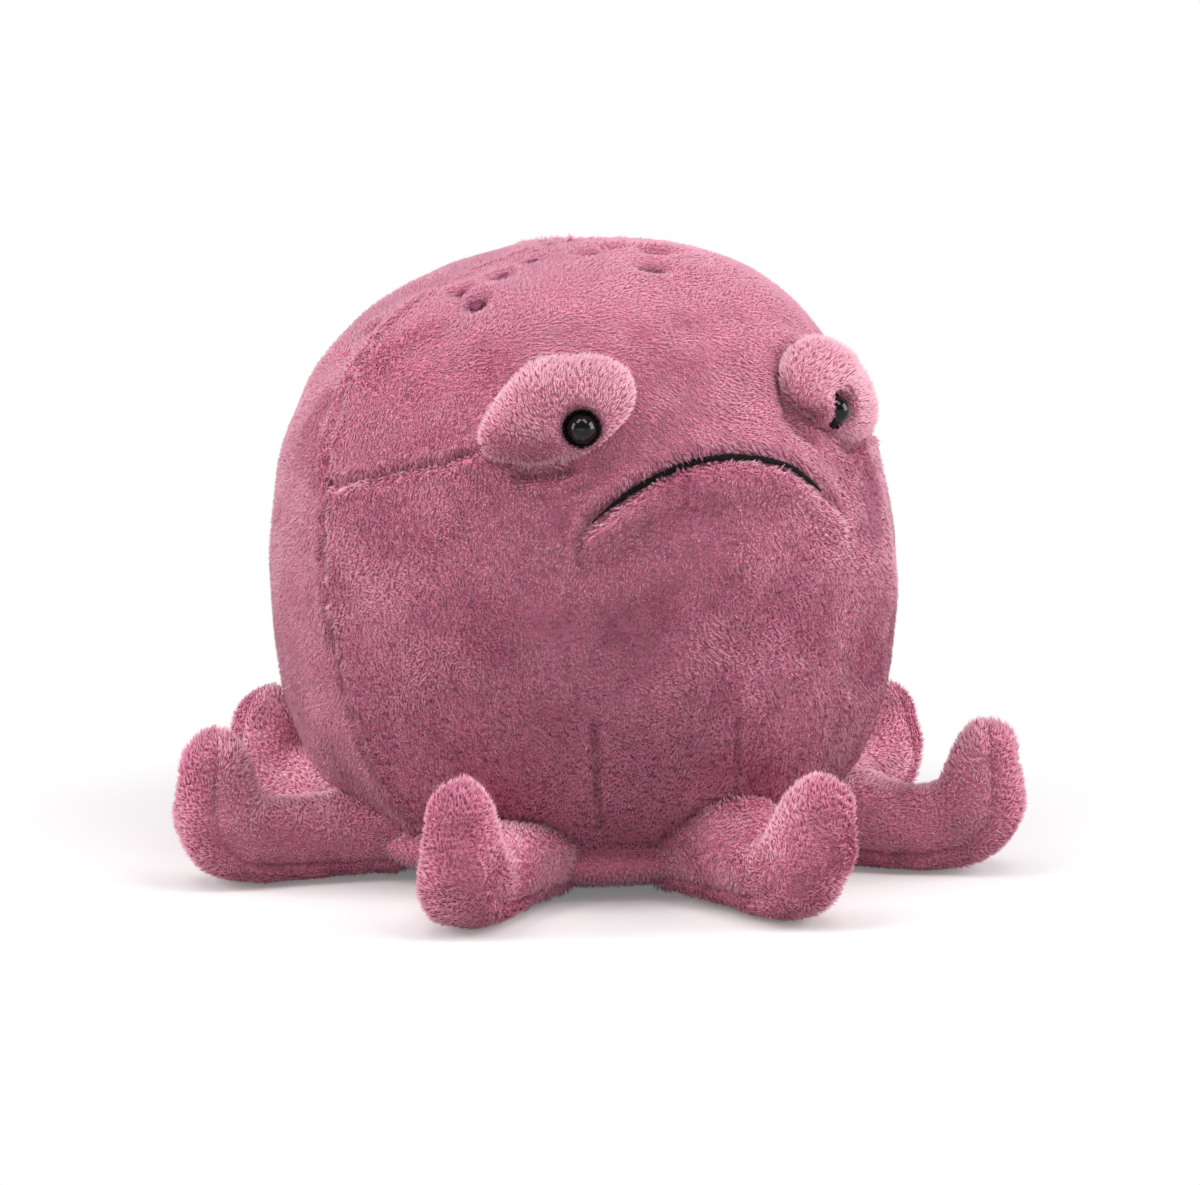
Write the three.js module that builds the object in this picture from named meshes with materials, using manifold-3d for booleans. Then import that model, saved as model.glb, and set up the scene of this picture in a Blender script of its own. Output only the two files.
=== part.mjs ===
import * as THREE from 'three';
import { mergeVertices } from 'three/addons/utils/BufferGeometryUtils.js';
import Module from 'manifold-3d';

// A stuffed octopus of short-pile plush. It stands on the flat base of its body, and eight
// arms lie round it with their tips curled up. Millimetres, +Z up. The face looks along -Y,
// left is -X, and the origin is on the ground below the middle of the body.

const wasm = await Module();
wasm.setup();

// Body
const bodyRadius = 100;
const bodyHeight = 198;
const chinSwell = 3;
const clothThickness = 4;
const seamGap = 0.3;
const bodyColumns = 28;
const bodyRows = 11;
const bodyOutlineShares = [
  [0.5, 0],
  [0.63, 0.025],
  [0.75, 0.07],
  [0.845, 0.126],
  [0.92, 0.19],
  [0.975, 0.28],
  [1, 0.394],
  [1, 0.505],
  [0.97, 0.616],
  [0.92, 0.717],
  [0.835, 0.808],
  [0.705, 0.884],
  [0.53, 0.944],
  [0.29, 0.985],
  [0, 1],
];

// Panel seams. The side seam is given as shares of the radius along Y against shares of the
// height; the brow and mouth line as degrees from the middle of the face against shares of
// the height, the same on both sides.
const sideSeamShares = [
  [-0.28, 0],
  [-0.25, 0.195],
  [-0.21, 0.31],
  [-0.125, 0.555],
  [-0.1, 0.64],
  [-0.03, 0.77],
  [0, 0.89],
  [0.1, 0.98],
];
const browTurns = [0, 9, 17, 23, 26.5, 29, 36, 42, 47, 60, 84, 110];
const browHeightShares = [0.703, 0.696, 0.664, 0.63, 0.604, 0.69, 0.69, 0.69, 0.722, 0.689, 0.636, 0.636];
const mouthTurn = 26.5; // where the mouth line's seam turns up to the brow
const mouthEndDegrees = 24; // where the thread of the mouth line ends
const browToolRadiusShare = 0.3;

// Base: a dish whose rolled rim shows as a web between the arms
const rimHeight = 16;
const rimOverhang = 6;
const rimShares = [
  [0.8, 0],
  [0.93, 0.16],
  [1, 0.5],
  [0.985, 0.8],
  [0.95, 1],
];

// Arms
const armRootRadius = 76;
const armHalfHeight = 13.8;
const armLift = 20;
const armReach = 52;
const armTipRise = 25;
const armRootHalfWidth = 22;
const armTipRadius = 12;
const armSectionPower = 2.6;
const skinSides = 8;
const fillingSides = 6;
const flatCut = 0.5; // so much of a lying arm is cut away by the ground
const soleSeamShare = 0.42;
const clothSeatSteps = 5;
const fillingSeatSteps = 3;
const tightSectionPower = 2 / armSectionPower;
const flatShare = Math.cos(Math.PI / skinSides) ** tightSectionPower;
const hingeHeight = flatShare * armHalfHeight - flatCut;

// Stations along an arm: share of the reach, share of the tip rise above the hinge, degrees
// that the arm has turned up, share of the half height, share of the root's half width.
const armStationShares = [
  [0.1, 0, 0, 1, 0.93],
  [0.4, 0, 0, 1.02, 0.73],
  [0.7, 0.02, 8, 1.06, 0.66],
  [0.9, 0.16, 42, 1.16, 0.66],
  [1, 0.5, 74, 1.1, 0.64],
  [1.01, 1, 92, 0.93, 0.56],
];
const skinDomes = [30, 62];
const fillingDomes = [45];

// Each arm: its name, its heading from the face in degrees, how high its tip stands, how far
// it reaches, and the degrees by which its tip leans sideways.
const arms = [
  { name: 'front_arm', heading: 3, riseShare: 0.92, reachShare: 1, lean: 6 },
  { name: 'front_right_arm', heading: 46, riseShare: 0.96, reachShare: 1.05, lean: 3 },
  { name: 'right_arm', heading: 94, riseShare: 0.74, reachShare: 0.8, lean: 0 },
  { name: 'rear_right_arm', heading: 135, riseShare: 0.9, reachShare: 1, lean: 4 },
  { name: 'rear_arm', heading: 176.5, riseShare: 0.95, reachShare: 1, lean: -3 },
  { name: 'rear_left_arm', heading: -142, riseShare: 0.8, reachShare: 0.76, lean: 0 },
  { name: 'left_arm', heading: -92, riseShare: 1.02, reachShare: 1, lean: 3 },
  { name: 'front_left_arm', heading: -45, riseShare: 0.96, reachShare: 1, lean: 2 },
];

// Filling and pellets
const pouchRadius = 40;
const pouchHeight = 26;
const pouchOutlineShares = [
  [0.86, 0],
  [1, 0.3],
  [0.97, 0.62],
  [0.75, 0.88],
  [0.35, 1],
];

// Eyes
const eyeTurn = 33;
const eyeHeightShare = 0.783;
const moundLength = 24;
const moundWidth = 17;
const moundDepth = 10;
const moundSlantDegrees = 18;
const moundSides = 12;
const moundRows = 7;
const beadRadius = 5;
const beadTurn = 28.5;
const beadHeightShare = 0.757;
const beadTilt = 10;
const beadStandoff = 4;
const beadSteps = 4;
const dimpleFlare = 4;
const eyeSegments = 12;
const shankRadius = 1.6;
const shankLength = 12;
const eyeRingThickness = 1.5;
const washerRadius = 6;
const washerThickness = 1.5;

// Mouth and crown
const mouthThickness = 1.8;
const mouthSteps = 14;
const mouthSides = 6;
const spotHalfLength = 3.4;
const spotDepth = 2;
const spotThickness = 1.2;
const spotSides = 8;

// Crown spots: place as shares of the body radius towards the right and towards the back,
// then the long and the short half size as shares of the largest and the turn of the long one.
const spots = [
  { rightShare: -0.514, backShare: -0.264, longShare: 1, shortShare: 0.7, turn: 30 },
  { rightShare: -0.504, backShare: -0.127, longShare: 0.76, shortShare: 0.56, turn: 10 },
  { rightShare: -0.353, backShare: -0.14, longShare: 0.82, shortShare: 0.59, turn: 25 },
  { rightShare: -0.216, backShare: -0.074, longShare: 0.59, shortShare: 0.5, turn: 0 },
  { rightShare: -0.062, backShare: -0.174, longShare: 0.65, shortShare: 0.53, turn: 0 },
  { rightShare: 0.05, backShare: -0.13, longShare: 0.65, shortShare: 0.53, turn: 0 },
  { rightShare: 0.15, backShare: -0.19, longShare: 0.7, shortShare: 0.53, turn: -20 },
  { rightShare: 0.053, backShare: -0.357, longShare: 0.94, shortShare: 0.65, turn: -25 },
  { rightShare: -0.702, backShare: 0.113, longShare: 1, shortShare: 0.5, turn: 60 },
];

// Colours
const crownCloth = { color: 0xb96d80, roughness: 0.95, metalness: 0 };
const frontCloth = { color: 0xa05a70, roughness: 0.95, metalness: 0 };
const armCloth = { color: 0xad6479, roughness: 0.95, metalness: 0 };
const soleCloth = { color: 0x8f5468, roughness: 0.95, metalness: 0 };
const spotThread = { color: 0x6e3a4c, roughness: 0.85, metalness: 0 };
const blackThread = { color: 0x17141a, roughness: 0.7, metalness: 0 };
const blackPlastic = { color: 0x0b0b0d, roughness: 0.12, metalness: 0 };
const washerPlastic = { color: 0xe6e4de, roughness: 0.5, metalness: 0 };
const fibre = { color: 0xf1efe9, roughness: 1, metalness: 0 };
const pouchCloth = { color: 0xd9d3c6, roughness: 0.9, metalness: 0 };

// Solids

const mergeShare = 1e-6;
const reach = 3 * (bodyRadius + armReach);

function toSolid(geometry) {
  const bare = geometry.clone();
  bare.deleteAttribute('normal');
  bare.deleteAttribute('uv');
  const merged = mergeVertices(bare, mergeShare * bodyRadius);
  const corners = merged.index.array;
  const kept = [];
  for (let i = 0; i < corners.length; i += 3) {
    const [a, b, c] = [corners[i], corners[i + 1], corners[i + 2]];
    if (a !== b && b !== c && c !== a) kept.push(a, b, c);
  }
  return new wasm.Manifold(new wasm.Mesh({
    numProp: 3,
    vertProperties: new Float32Array(merged.attributes.position.array),
    triVerts: new Uint32Array(kept),
  }));
}

function toGeometry(solid) {
  const mesh = solid.getMesh();
  const geometry = new THREE.BufferGeometry();
  geometry.setAttribute('position', new THREE.Float32BufferAttribute(mesh.vertProperties, mesh.numProp));
  geometry.setIndex(new THREE.Uint32BufferAttribute(mesh.triVerts, 1));
  geometry.computeVertexNormals();
  return geometry;
}

// A closed form from rings of points, with a fan to a middle point at each end.
function ringForm(rings, first, last) {
  const sides = rings[0].length;
  const points = [...rings.flat(), first, last];
  const firstIndex = points.length - 2;
  const lastIndex = points.length - 1;
  const faces = [];
  for (let side = 0; side < sides; side += 1) {
    const next = (side + 1) % sides;
    faces.push(firstIndex, next, side);
    for (let ring = 0; ring < rings.length - 1; ring += 1) {
      const low = ring * sides;
      const high = low + sides;
      faces.push(low + side, low + next, high + next, low + side, high + next, high + side);
    }
    const top = (rings.length - 1) * sides;
    faces.push(lastIndex, top + side, top + next);
  }
  const places = points.flatMap((point) => [point.x, point.y, point.z]);
  const geometry = new THREE.BufferGeometry();
  geometry.setAttribute('position', new THREE.Float32BufferAttribute(places, 3));
  geometry.setIndex(faces);
  return geometry;
}

function without(solid, tools) {
  return tools.reduce((left, tool) => left.subtract(tool), solid);
}

function placed(geometry, matrix) {
  return geometry.clone().applyMatrix4(matrix);
}

function boxBetween(low, high) {
  const size = new THREE.Vector3().subVectors(high, low);
  const middle = new THREE.Vector3().addVectors(low, high).multiplyScalar(1 / 2);
  return toSolid(new THREE.BoxGeometry(size.x, size.y, size.z).translate(middle.x, middle.y, middle.z));
}

function spaceAbove(height) {
  return boxBetween(new THREE.Vector3(-reach, -reach, height), new THREE.Vector3(reach, reach, reach));
}

function spaceRight(from) {
  return boxBetween(new THREE.Vector3(from, -reach, -reach), new THREE.Vector3(reach, reach, reach));
}

function spaceLeft(to) {
  return boxBetween(new THREE.Vector3(-reach, -reach, -reach), new THREE.Vector3(to, reach, reach));
}

// An outline of [across, up] points, run along the remaining direction by half a length to
// each side of the middle.
function prism(points, halfLength, across, along) {
  const shape = new THREE.Shape(points.map(([a, b]) => new THREE.Vector2(a, b)));
  const geometry = new THREE.ExtrudeGeometry(shape, { depth: 2 * halfLength, bevelEnabled: false });
  geometry.translate(0, 0, -halfLength);
  const up = new THREE.Vector3().crossVectors(along, across);
  return placed(geometry, new THREE.Matrix4().makeBasis(across, up, along));
}

function between(table, values, at) {
  let i = 0;
  while (i < table.length - 2 && table[i + 1] < at) i += 1;
  const share = (at - table[i]) / (table[i + 1] - table[i]);
  return THREE.MathUtils.lerp(values[i], values[i + 1], share);
}

// Body surface

const bodyOutline = new THREE.SplineCurve(
  bodyOutlineShares.map(([radius, height]) => new THREE.Vector2(radius * bodyRadius, height * bodyHeight)),
);
const radians = THREE.MathUtils.degToRad;

function direction(turn) {
  return new THREE.Vector3(Math.sin(radians(turn)), -Math.cos(radians(turn)), 0);
}

// The chin is stuffed out a little below the mouth.
function chinBulge(turn, height) {
  const side = Math.cos(Math.min(Math.abs(turn / (2 * mouthTurn)), 1) * Math.PI / 2);
  const rise = Math.sin(THREE.MathUtils.clamp(height / (browHeightShares[0] * bodyHeight), 0, 1) * Math.PI);
  return chinSwell * side * side * rise;
}

function surfacePoint(turn, share, outset) {
  const point = bodyOutline.getPoint(share);
  const tangent = bodyOutline.getTangent(share);
  const out = outset + chinBulge(turn, point.y);
  const radius = Math.max(point.x + tangent.y * out, 0);
  return direction(turn).multiplyScalar(radius).setZ(point.y - tangent.x * out);
}

function bodyForm(outset) {
  const rings = [];
  for (let row = 0; row < bodyRows; row += 1) {
    const ring = [];
    for (let column = 0; column < bodyColumns; column += 1) {
      ring.push(surfacePoint(360 * column / bodyColumns, row / bodyRows, outset));
    }
    rings.push(ring);
  }
  const bottom = new THREE.Vector3(0, 0, Math.min(...rings[0].map((point) => point.z)));
  return toSolid(ringForm(rings, bottom, surfacePoint(0, 1, outset).setX(0).setY(0)));
}

// Where the ray that leaves the axis at this turn and height meets the body.
function pointAtHeight(turn, height, outset) {
  let [low, high] = [0, 1];
  while (high - low > mergeShare) {
    const middle = (low + high) / 2;
    if (surfacePoint(turn, middle, outset).z < height) low = middle;
    else high = middle;
  }
  return surfacePoint(turn, low, outset);
}

function surfaceNormal(turn, height) {
  const low = pointAtHeight(turn, height - clothThickness, 0);
  const high = pointAtHeight(turn, height + clothThickness, 0);
  const along = new THREE.Vector3().subVectors(high, low).normalize();
  const sideways = new THREE.Vector3(Math.cos(radians(turn)), Math.sin(radians(turn)), 0);
  return new THREE.Vector3().crossVectors(sideways, along).normalize();
}

// Panels of the body

const alongX = new THREE.Vector3(1, 0, 0);
const alongY = new THREE.Vector3(0, 1, 0);
const alongZ = new THREE.Vector3(0, 0, 1);

function frontSpace(shift) {
  const seam = sideSeamShares.map(([y, z]) => [y * bodyRadius + shift, z * bodyHeight]);
  const outline = [
    [-reach, -reach],
    [seam[0][0], -reach],
    ...seam,
    [seam[seam.length - 1][0], reach],
    [-reach, reach],
  ];
  return toSolid(prism(outline, reach, alongY, alongX));
}

function browHeight(turn) {
  return between(browTurns, browHeightShares, Math.abs(turn)) * bodyHeight;
}

// The space below the brow seam and the mouth line, a wall standing round the front.
function lowerFaceSpace(raise) {
  const inner = browToolRadiusShare * bodyRadius;
  const rings = [];
  const turns = [...browTurns.slice(1).map((turn) => -turn).reverse(), ...browTurns];
  for (const turn of turns) {
    const top = browHeight(turn) + raise;
    const out = direction(turn);
    rings.push([
      out.clone().multiplyScalar(inner).setZ(top),
      out.clone().multiplyScalar(reach).setZ(top),
      out.clone().multiplyScalar(reach).setZ(-reach),
      out.clone().multiplyScalar(inner).setZ(-reach),
    ]);
  }
  const sumOf = (ring) => ring.reduce((sum, point) => sum.add(point), new THREE.Vector3());
  const middleOf = (ring) => sumOf(ring).multiplyScalar(1 / ring.length);
  return toSolid(ringForm(rings, middleOf(rings[0]), middleOf(rings[rings.length - 1])));
}

// The wedge that the chin takes out of the lower face, moved forward or back by a shift.
function chinSpace(shift) {
  const half = Math.tan(radians(mouthTurn)) * reach;
  const outline = [[0, -shift], [-half, -shift - reach], [half, -shift - reach]];
  return toSolid(prism(outline, reach, alongX, alongZ));
}

const halfGap = seamGap / 2;
const wedgeShift = halfGap / Math.sin(radians(mouthTurn));
const outerBody = bodyForm(0);
const shell = outerBody.subtract(bodyForm(-clothThickness)).intersect(spaceAbove(rimHeight + seamGap));
const frontShell = shell.intersect(frontSpace(-halfGap));
const backShell = shell.subtract(frontSpace(halfGap));
const lowerFace = frontShell.intersect(lowerFaceSpace(-halfGap));
const cheeks = lowerFace.subtract(chinSpace(-wedgeShift));
const panels = {
  forehead_panel: frontShell.subtract(lowerFaceSpace(halfGap)),
  chin_panel: lowerFace.intersect(chinSpace(wedgeShift)),
  left_cheek_panel: cheeks.intersect(spaceLeft(0)),
  right_cheek_panel: cheeks.intersect(spaceRight(0)),
  left_back_panel: backShell.intersect(spaceLeft(-halfGap)),
  right_back_panel: backShell.intersect(spaceRight(halfGap)),
};

// Base panel: a turned dish

function turned(outline, segments) {
  const profile = outline.map(([radius, height]) => new THREE.Vector2(radius, height));
  return new THREE.LatheGeometry(profile, segments).rotateX(Math.PI / 2);
}

function baseDish() {
  const rimRadius = pointAtHeight(180, rimHeight, 0).y + rimOverhang;
  const outside = rimShares.map(([radius, height]) => [radius * rimRadius, height * rimHeight]);
  const inside = [...outside].reverse().map(([radius, height]) => [
    radius - clothThickness,
    Math.min(Math.max(height, clothThickness), rimHeight),
  ]);
  const profile = [[0, 0], ...outside, ...inside, [0, clothThickness]];
  return toSolid(turned(profile, bodyColumns));
}

// Arms. Each is made lying along +X from its hinge line, then turned to its heading.

function sectionPoint(angle, halfWidth, halfHeight) {
  const [cosine, sine] = [Math.cos(angle), Math.sin(angle)];
  const across = Math.sign(cosine) * Math.abs(cosine) ** tightSectionPower * halfWidth;
  const up = Math.sign(sine) * Math.abs(sine) ** tightSectionPower * halfHeight;
  return [across, up];
}

// Stations as distance from the hinge, height above it, turn, half height and half width.
function armStations(arm, inset, domes) {
  const stations = armStationShares.map(([reachPart, risePart, turn, heightPart, widthPart]) => ({
    x: reachPart * armReach * arm.reachShare,
    z: risePart * armTipRise * arm.riseShare,
    turn,
    halfHeight: heightPart * armHalfHeight - inset,
    halfWidth: widthPart * armRootHalfWidth - inset,
  }));
  const root = [...domes].reverse().map((dome) => ({
    x: -(armHalfHeight - inset) * Math.sin(radians(dome)),
    z: 0,
    turn: 0,
    halfHeight: (armHalfHeight - inset) * Math.cos(radians(dome)),
    halfWidth: armRootHalfWidth - inset,
  }));
  const last = stations[stations.length - 1];
  const tip = domes.map((dome) => ({
    x: last.x + (armTipRadius - inset) * Math.sin(radians(dome)) * Math.cos(radians(last.turn)),
    z: last.z + (armTipRadius - inset) * Math.sin(radians(dome)) * Math.sin(radians(last.turn)),
    turn: last.turn,
    halfHeight: last.halfHeight * Math.cos(radians(dome)),
    halfWidth: last.halfWidth * Math.cos(radians(dome)),
  }));
  return { root, stations, tip, last };
}

// The sideways lean grows with the height above the hinge.
function leaned(arm, x, y, z) {
  return new THREE.Vector3(x, y + Math.tan(radians(arm.lean)) * Math.max(z, 0), z + hingeHeight);
}

function armForm(arm, inset, sides, domes) {
  const { root, stations, tip, last } = armStations(arm, inset, domes);
  const ringAt = (station) => {
    const ring = [];
    for (let side = 0; side < sides; side += 1) {
      const angle = 2 * Math.PI * (side + 1 / 2) / sides;
      const [across, up] = sectionPoint(angle, station.halfWidth, station.halfHeight);
      const turn = radians(station.turn);
      ring.push(leaned(arm, station.x - up * Math.sin(turn), across, station.z + up * Math.cos(turn)));
    }
    return ring;
  };
  const rings = [...root, ...stations, ...tip].map(ringAt);
  const turn = radians(last.turn);
  const length = armTipRadius - inset;
  const first = leaned(arm, -(armHalfHeight - inset), 0, 0);
  const end = leaned(arm, last.x + length * Math.cos(turn), 0, last.z + length * Math.sin(turn));
  return toSolid(ringForm(rings, first, end));
}

// The outline below the side seam of an arm, seen from its side.
function soleSpace(arm, shift) {
  const { stations, tip } = armStations(arm, 0, skinDomes);
  const seam = [...stations, ...tip].map((station) => {
    const turn = radians(station.turn);
    const down = soleSeamShare * station.halfHeight + shift;
    return [station.x + down * Math.sin(turn), station.z - down * Math.cos(turn) + hingeHeight];
  });
  const end = seam[seam.length - 1];
  const outline = [
    [-reach, -reach],
    [-reach, seam[0][1]],
    ...seam,
    [end[0], reach],
    [reach, reach],
    [reach, -reach],
  ];
  return toSolid(prism(outline.reverse(), reach, alongX, alongY.clone().negate()));
}

// The space an arm's root needs in the body: a round seat about the hinge line, open
// outwards from straight below to the arm at its highest.
function armSeat(steps) {
  const seat = armHalfHeight + seamGap;
  const lift = radians(armLift);
  const outline = [];
  const from = Math.PI / 2 + lift;
  const to = 3 * Math.PI / 2;
  for (let step = 0; step <= steps; step += 1) {
    const angle = THREE.MathUtils.lerp(from, to, step / steps);
    const grown = seat / Math.cos((to - from) / steps / 2);
    outline.push([grown * Math.cos(angle), hingeHeight + grown * Math.sin(angle)]);
  }
  const [topX, topZ] = outline[0];
  outline.push([0, -seat], [reach, -seat], [reach, topZ + (reach - topX) * Math.tan(lift)]);
  const halfWidth = armRootHalfWidth + seamGap;
  return placed(prism(outline, halfWidth, alongX, alongY.clone().negate()), hingeMatrix());
}

function hingeMatrix() {
  return new THREE.Matrix4().makeTranslation(armRootRadius, 0, 0);
}

function headingMatrix(heading) {
  return new THREE.Matrix4().makeRotationZ(radians(heading - 90));
}

function armPieces(arm) {
  const ground = spaceAbove(0);
  const outer = armForm(arm, 0, skinSides, skinDomes).intersect(ground);
  const hollow = armForm(arm, clothThickness, fillingSides, fillingDomes);
  const skin = outer.subtract(hollow);
  const filling = armForm(arm, clothThickness + seamGap, fillingSides, fillingDomes);
  return [
    [`${arm.name}_skin`, skin.subtract(soleSpace(arm, -halfGap)), armCloth],
    [`${arm.name}_sole`, skin.intersect(soleSpace(arm, halfGap)), soleCloth],
    [`${arm.name}_filling`, filling, fibre],
  ];
}

// Eyes. Each is made about its own middle, looking along +Z, then set on the body.

const beadSeat = eyeRingThickness;
const ringRadius = beadRadius + seamGap + eyeRingThickness / 2;

function mound(inset) {
  const rings = [];
  for (let row = 1; row < moundRows; row += 1) {
    const tilt = Math.PI * row / moundRows;
    const ring = [];
    for (let side = 0; side < moundSides; side += 1) {
      const angle = 2 * Math.PI * side / moundSides;
      ring.push(new THREE.Vector3(
        (moundLength - inset) * Math.sin(tilt) * Math.cos(angle),
        (moundWidth - inset) * Math.sin(tilt) * Math.sin(angle),
        -(moundDepth - inset) * Math.cos(tilt),
      ));
    }
    rings.push(ring);
  }
  const depth = moundDepth - inset;
  return ringForm(rings, new THREE.Vector3(0, 0, -depth), new THREE.Vector3(0, 0, depth));
}

const eyeHeight = eyeHeightShare * bodyHeight;
const beadHeight = beadHeightShare * bodyHeight;

function moundMatrix(side) {
  const out = surfaceNormal(side * eyeTurn, eyeHeight);
  const across = new THREE.Vector3().crossVectors(alongZ, out).normalize();
  const up = new THREE.Vector3().crossVectors(out, across);
  const slant = radians(side * moundSlantDegrees);
  const long = across.multiplyScalar(Math.cos(slant)).addScaledVector(up, -Math.sin(slant));
  const short = new THREE.Vector3().crossVectors(out, long);
  const origin = pointAtHeight(side * eyeTurn, eyeHeight, 0);
  return new THREE.Matrix4().makeBasis(long, short, out).setPosition(origin);
}

// The bead stands off the body's surface, in a dimple into which its washer pulls it.
function beadMatrix(side) {
  const tilt = radians(beadTilt);
  const look = direction(side * beadTurn).multiplyScalar(Math.cos(tilt)).setZ(Math.sin(tilt));
  const across = new THREE.Vector3().crossVectors(alongZ, look).normalize();
  const up = new THREE.Vector3().crossVectors(look, across);
  const origin = pointAtHeight(side * beadTurn, beadHeight, 0).addScaledVector(look, beadStandoff);
  return new THREE.Matrix4().makeBasis(across, up, look).setPosition(origin);
}

function dimple(grow) {
  const floor = -beadSeat - seamGap - grow;
  const rim = ringRadius + eyeRingThickness + grow;
  return turned([[0, floor], [rim, floor], [rim + dimpleFlare, moundDepth], [0, moundDepth]], eyeSegments);
}

// The bead's widest circle lies in its ring, and its shank runs inwards.
function beadOutline(grow) {
  const ball = beadRadius + grow;
  const shank = shankRadius + grow;
  const outline = [
    [0, -shankLength - grow],
    [shank, -shankLength - grow],
    [shank, -beadSeat - grow],
    [ball, -beadSeat - grow],
  ];
  for (let step = 0; step < beadSteps; step += 1) {
    const angle = Math.PI / 2 * step / beadSteps;
    outline.push([ball * Math.cos(angle), ball * Math.sin(angle)]);
  }
  outline.push([0, ball]);
  return outline;
}

function disc(radius, low, high) {
  return turned([[0, low], [radius, low], [radius, high], [0, high]], eyeSegments);
}

function eyeRing() {
  const half = eyeRingThickness / 2;
  const inner = (ringRadius - half) / Math.cos(Math.PI / eyeSegments);
  const outline = [
    [inner, -beadSeat],
    [inner + eyeRingThickness, -beadSeat],
    [inner + eyeRingThickness, 0],
    [inner + half, half],
    [inner, 0],
    [inner, -beadSeat],
  ];
  return turned(outline, eyeSegments);
}

// The washer is pushed on the shank inside the body and presses a flat place into the cloth.
const washerTop = -(beadStandoff + clothThickness + washerThickness);
const washerBottom = washerTop - washerThickness;

function washer() {
  const hole = (shankRadius + seamGap) / Math.cos(Math.PI / eyeSegments);
  const outline = [
    [hole, washerBottom],
    [washerRadius, washerBottom],
    [washerRadius, washerTop],
    [hole, washerTop],
    [hole, washerBottom],
  ];
  return turned(outline, eyeSegments);
}

// An eye's own pieces, and the room that it takes in the cloth and the filling of the body.
function eyeParts(side, name) {
  const place = moundMatrix(side);
  const look = beadMatrix(side);
  const at = (geometry, matrix) => toSolid(placed(geometry, matrix));
  const setBody = bodyForm(seamGap);
  const shankHole = at(turned(beadOutline(seamGap), eyeSegments), look);
  const washerRoom = at(disc(washerRadius + seamGap, -shankLength - seamGap, washerTop + seamGap), look);
  const hollow = at(mound(clothThickness), place).subtract(at(dimple(clothThickness), look));
  const skin = without(at(mound(0), place), [setBody, hollow, at(dimple(0), look), shankHole]);
  const inset = clothThickness + seamGap;
  const filling = without(at(mound(inset), place), [setBody, at(dimple(inset), look), shankHole, washerRoom]);
  return {
    pieces: [
      [`${name}_eye_mound`, skin, armCloth],
      [`${name}_eye_filling`, filling, fibre],
      [`${name}_eye_bead`, at(turned(beadOutline(0), eyeSegments), look), blackPlastic],
      [`${name}_eye_washer`, at(washer(), look), washerPlastic],
      [`${name}_eye_ring`, at(eyeRing(), look), blackThread],
    ],
    rooms: [shankHole, washerRoom],
  };
}

// Mouth: a thread line laid in the seam between forehead and chin

function mouthLine(radius, overrun) {
  const points = [];
  for (let step = 0; step <= mouthSteps; step += 1) {
    const turn = THREE.MathUtils.lerp(-mouthEndDegrees, mouthEndDegrees, step / mouthSteps);
    points.push(pointAtHeight(turn, browHeight(turn), 0));
  }
  for (const [end, next] of [[0, 1], [mouthSteps, mouthSteps - 1]]) {
    const outwards = new THREE.Vector3().subVectors(points[end], points[next]).normalize();
    points[end].addScaledVector(outwards, overrun);
  }
  const shape = new THREE.Shape();
  for (let side = 0; side < mouthSides; side += 1) {
    const angle = 2 * Math.PI * side / mouthSides;
    const [x, y] = [radius * Math.cos(angle), radius * Math.sin(angle)];
    if (side === 0) shape.moveTo(x, y);
    else shape.lineTo(x, y);
  }
  const path = new THREE.CatmullRomCurve3(points);
  return new THREE.ExtrudeGeometry(shape, { steps: mouthSteps, extrudePath: path, bevelEnabled: false });
}

// Crown spots: flat stitched ovals at the bottom of shallow pits

function spotSolid(spot, grow, low, high) {
  const [x, y] = [spot.rightShare * bodyRadius, spot.backShare * bodyRadius];
  const turn = THREE.MathUtils.radToDeg(Math.atan2(x, -y));
  const radius = Math.hypot(x, y);
  const height = heightAtRadius(radius);
  const origin = pointAtHeight(turn, height, 0);
  const out = surfaceNormal(turn, height);
  const across = new THREE.Vector3().crossVectors(alongY, out).normalize();
  const up = new THREE.Vector3().crossVectors(out, across);
  const geometry = turned([[0, low], [1, low], [1, high], [0, high]], spotSides);
  geometry.scale(spot.longShare * spotHalfLength + grow, spot.shortShare * spotHalfLength + grow, 1);
  geometry.rotateZ(radians(spot.turn));
  return toSolid(placed(geometry, new THREE.Matrix4().makeBasis(across, up, out).setPosition(origin)));
}

function heightAtRadius(radius) {
  let [low, high] = [1 / 2, 1];
  while (high - low > mergeShare) {
    const middle = (low + high) / 2;
    if (bodyOutline.getPoint(middle).x > radius) low = middle;
    else high = middle;
  }
  return bodyOutline.getPoint(low).y;
}

// Filling of the body, with an open pocket below for the pouch of pellets

function pouchOutline(grow, low) {
  const bottom = clothThickness + seamGap;
  const side = pouchOutlineShares.map(([radius, height]) => [
    radius * pouchRadius + grow,
    bottom + height * pouchHeight + (height > 0 ? grow : 0),
  ]);
  side[0][1] = low;
  const top = side[side.length - 1][1];
  return [[0, low], ...side, [0, top]];
}

function bodyFilling() {
  const sag = bodyRadius * (1 - Math.cos(Math.PI / bodyColumns));
  const bottom = clothThickness + seamGap;
  const pocket = toSolid(turned(pouchOutline(seamGap, 0), bodyColumns));
  return bodyForm(-clothThickness - seamGap - sag).intersect(spaceAbove(bottom)).subtract(pocket);
}

// The whole toy

const octopus = new THREE.Group();

function addTo(group, name, solid, finish) {
  const mesh = new THREE.Mesh(toGeometry(solid), new THREE.MeshStandardMaterial(finish));
  mesh.name = name;
  group.add(mesh);
}

function add(name, solid, finish) {
  addTo(octopus, name, solid, finish);
}

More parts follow.
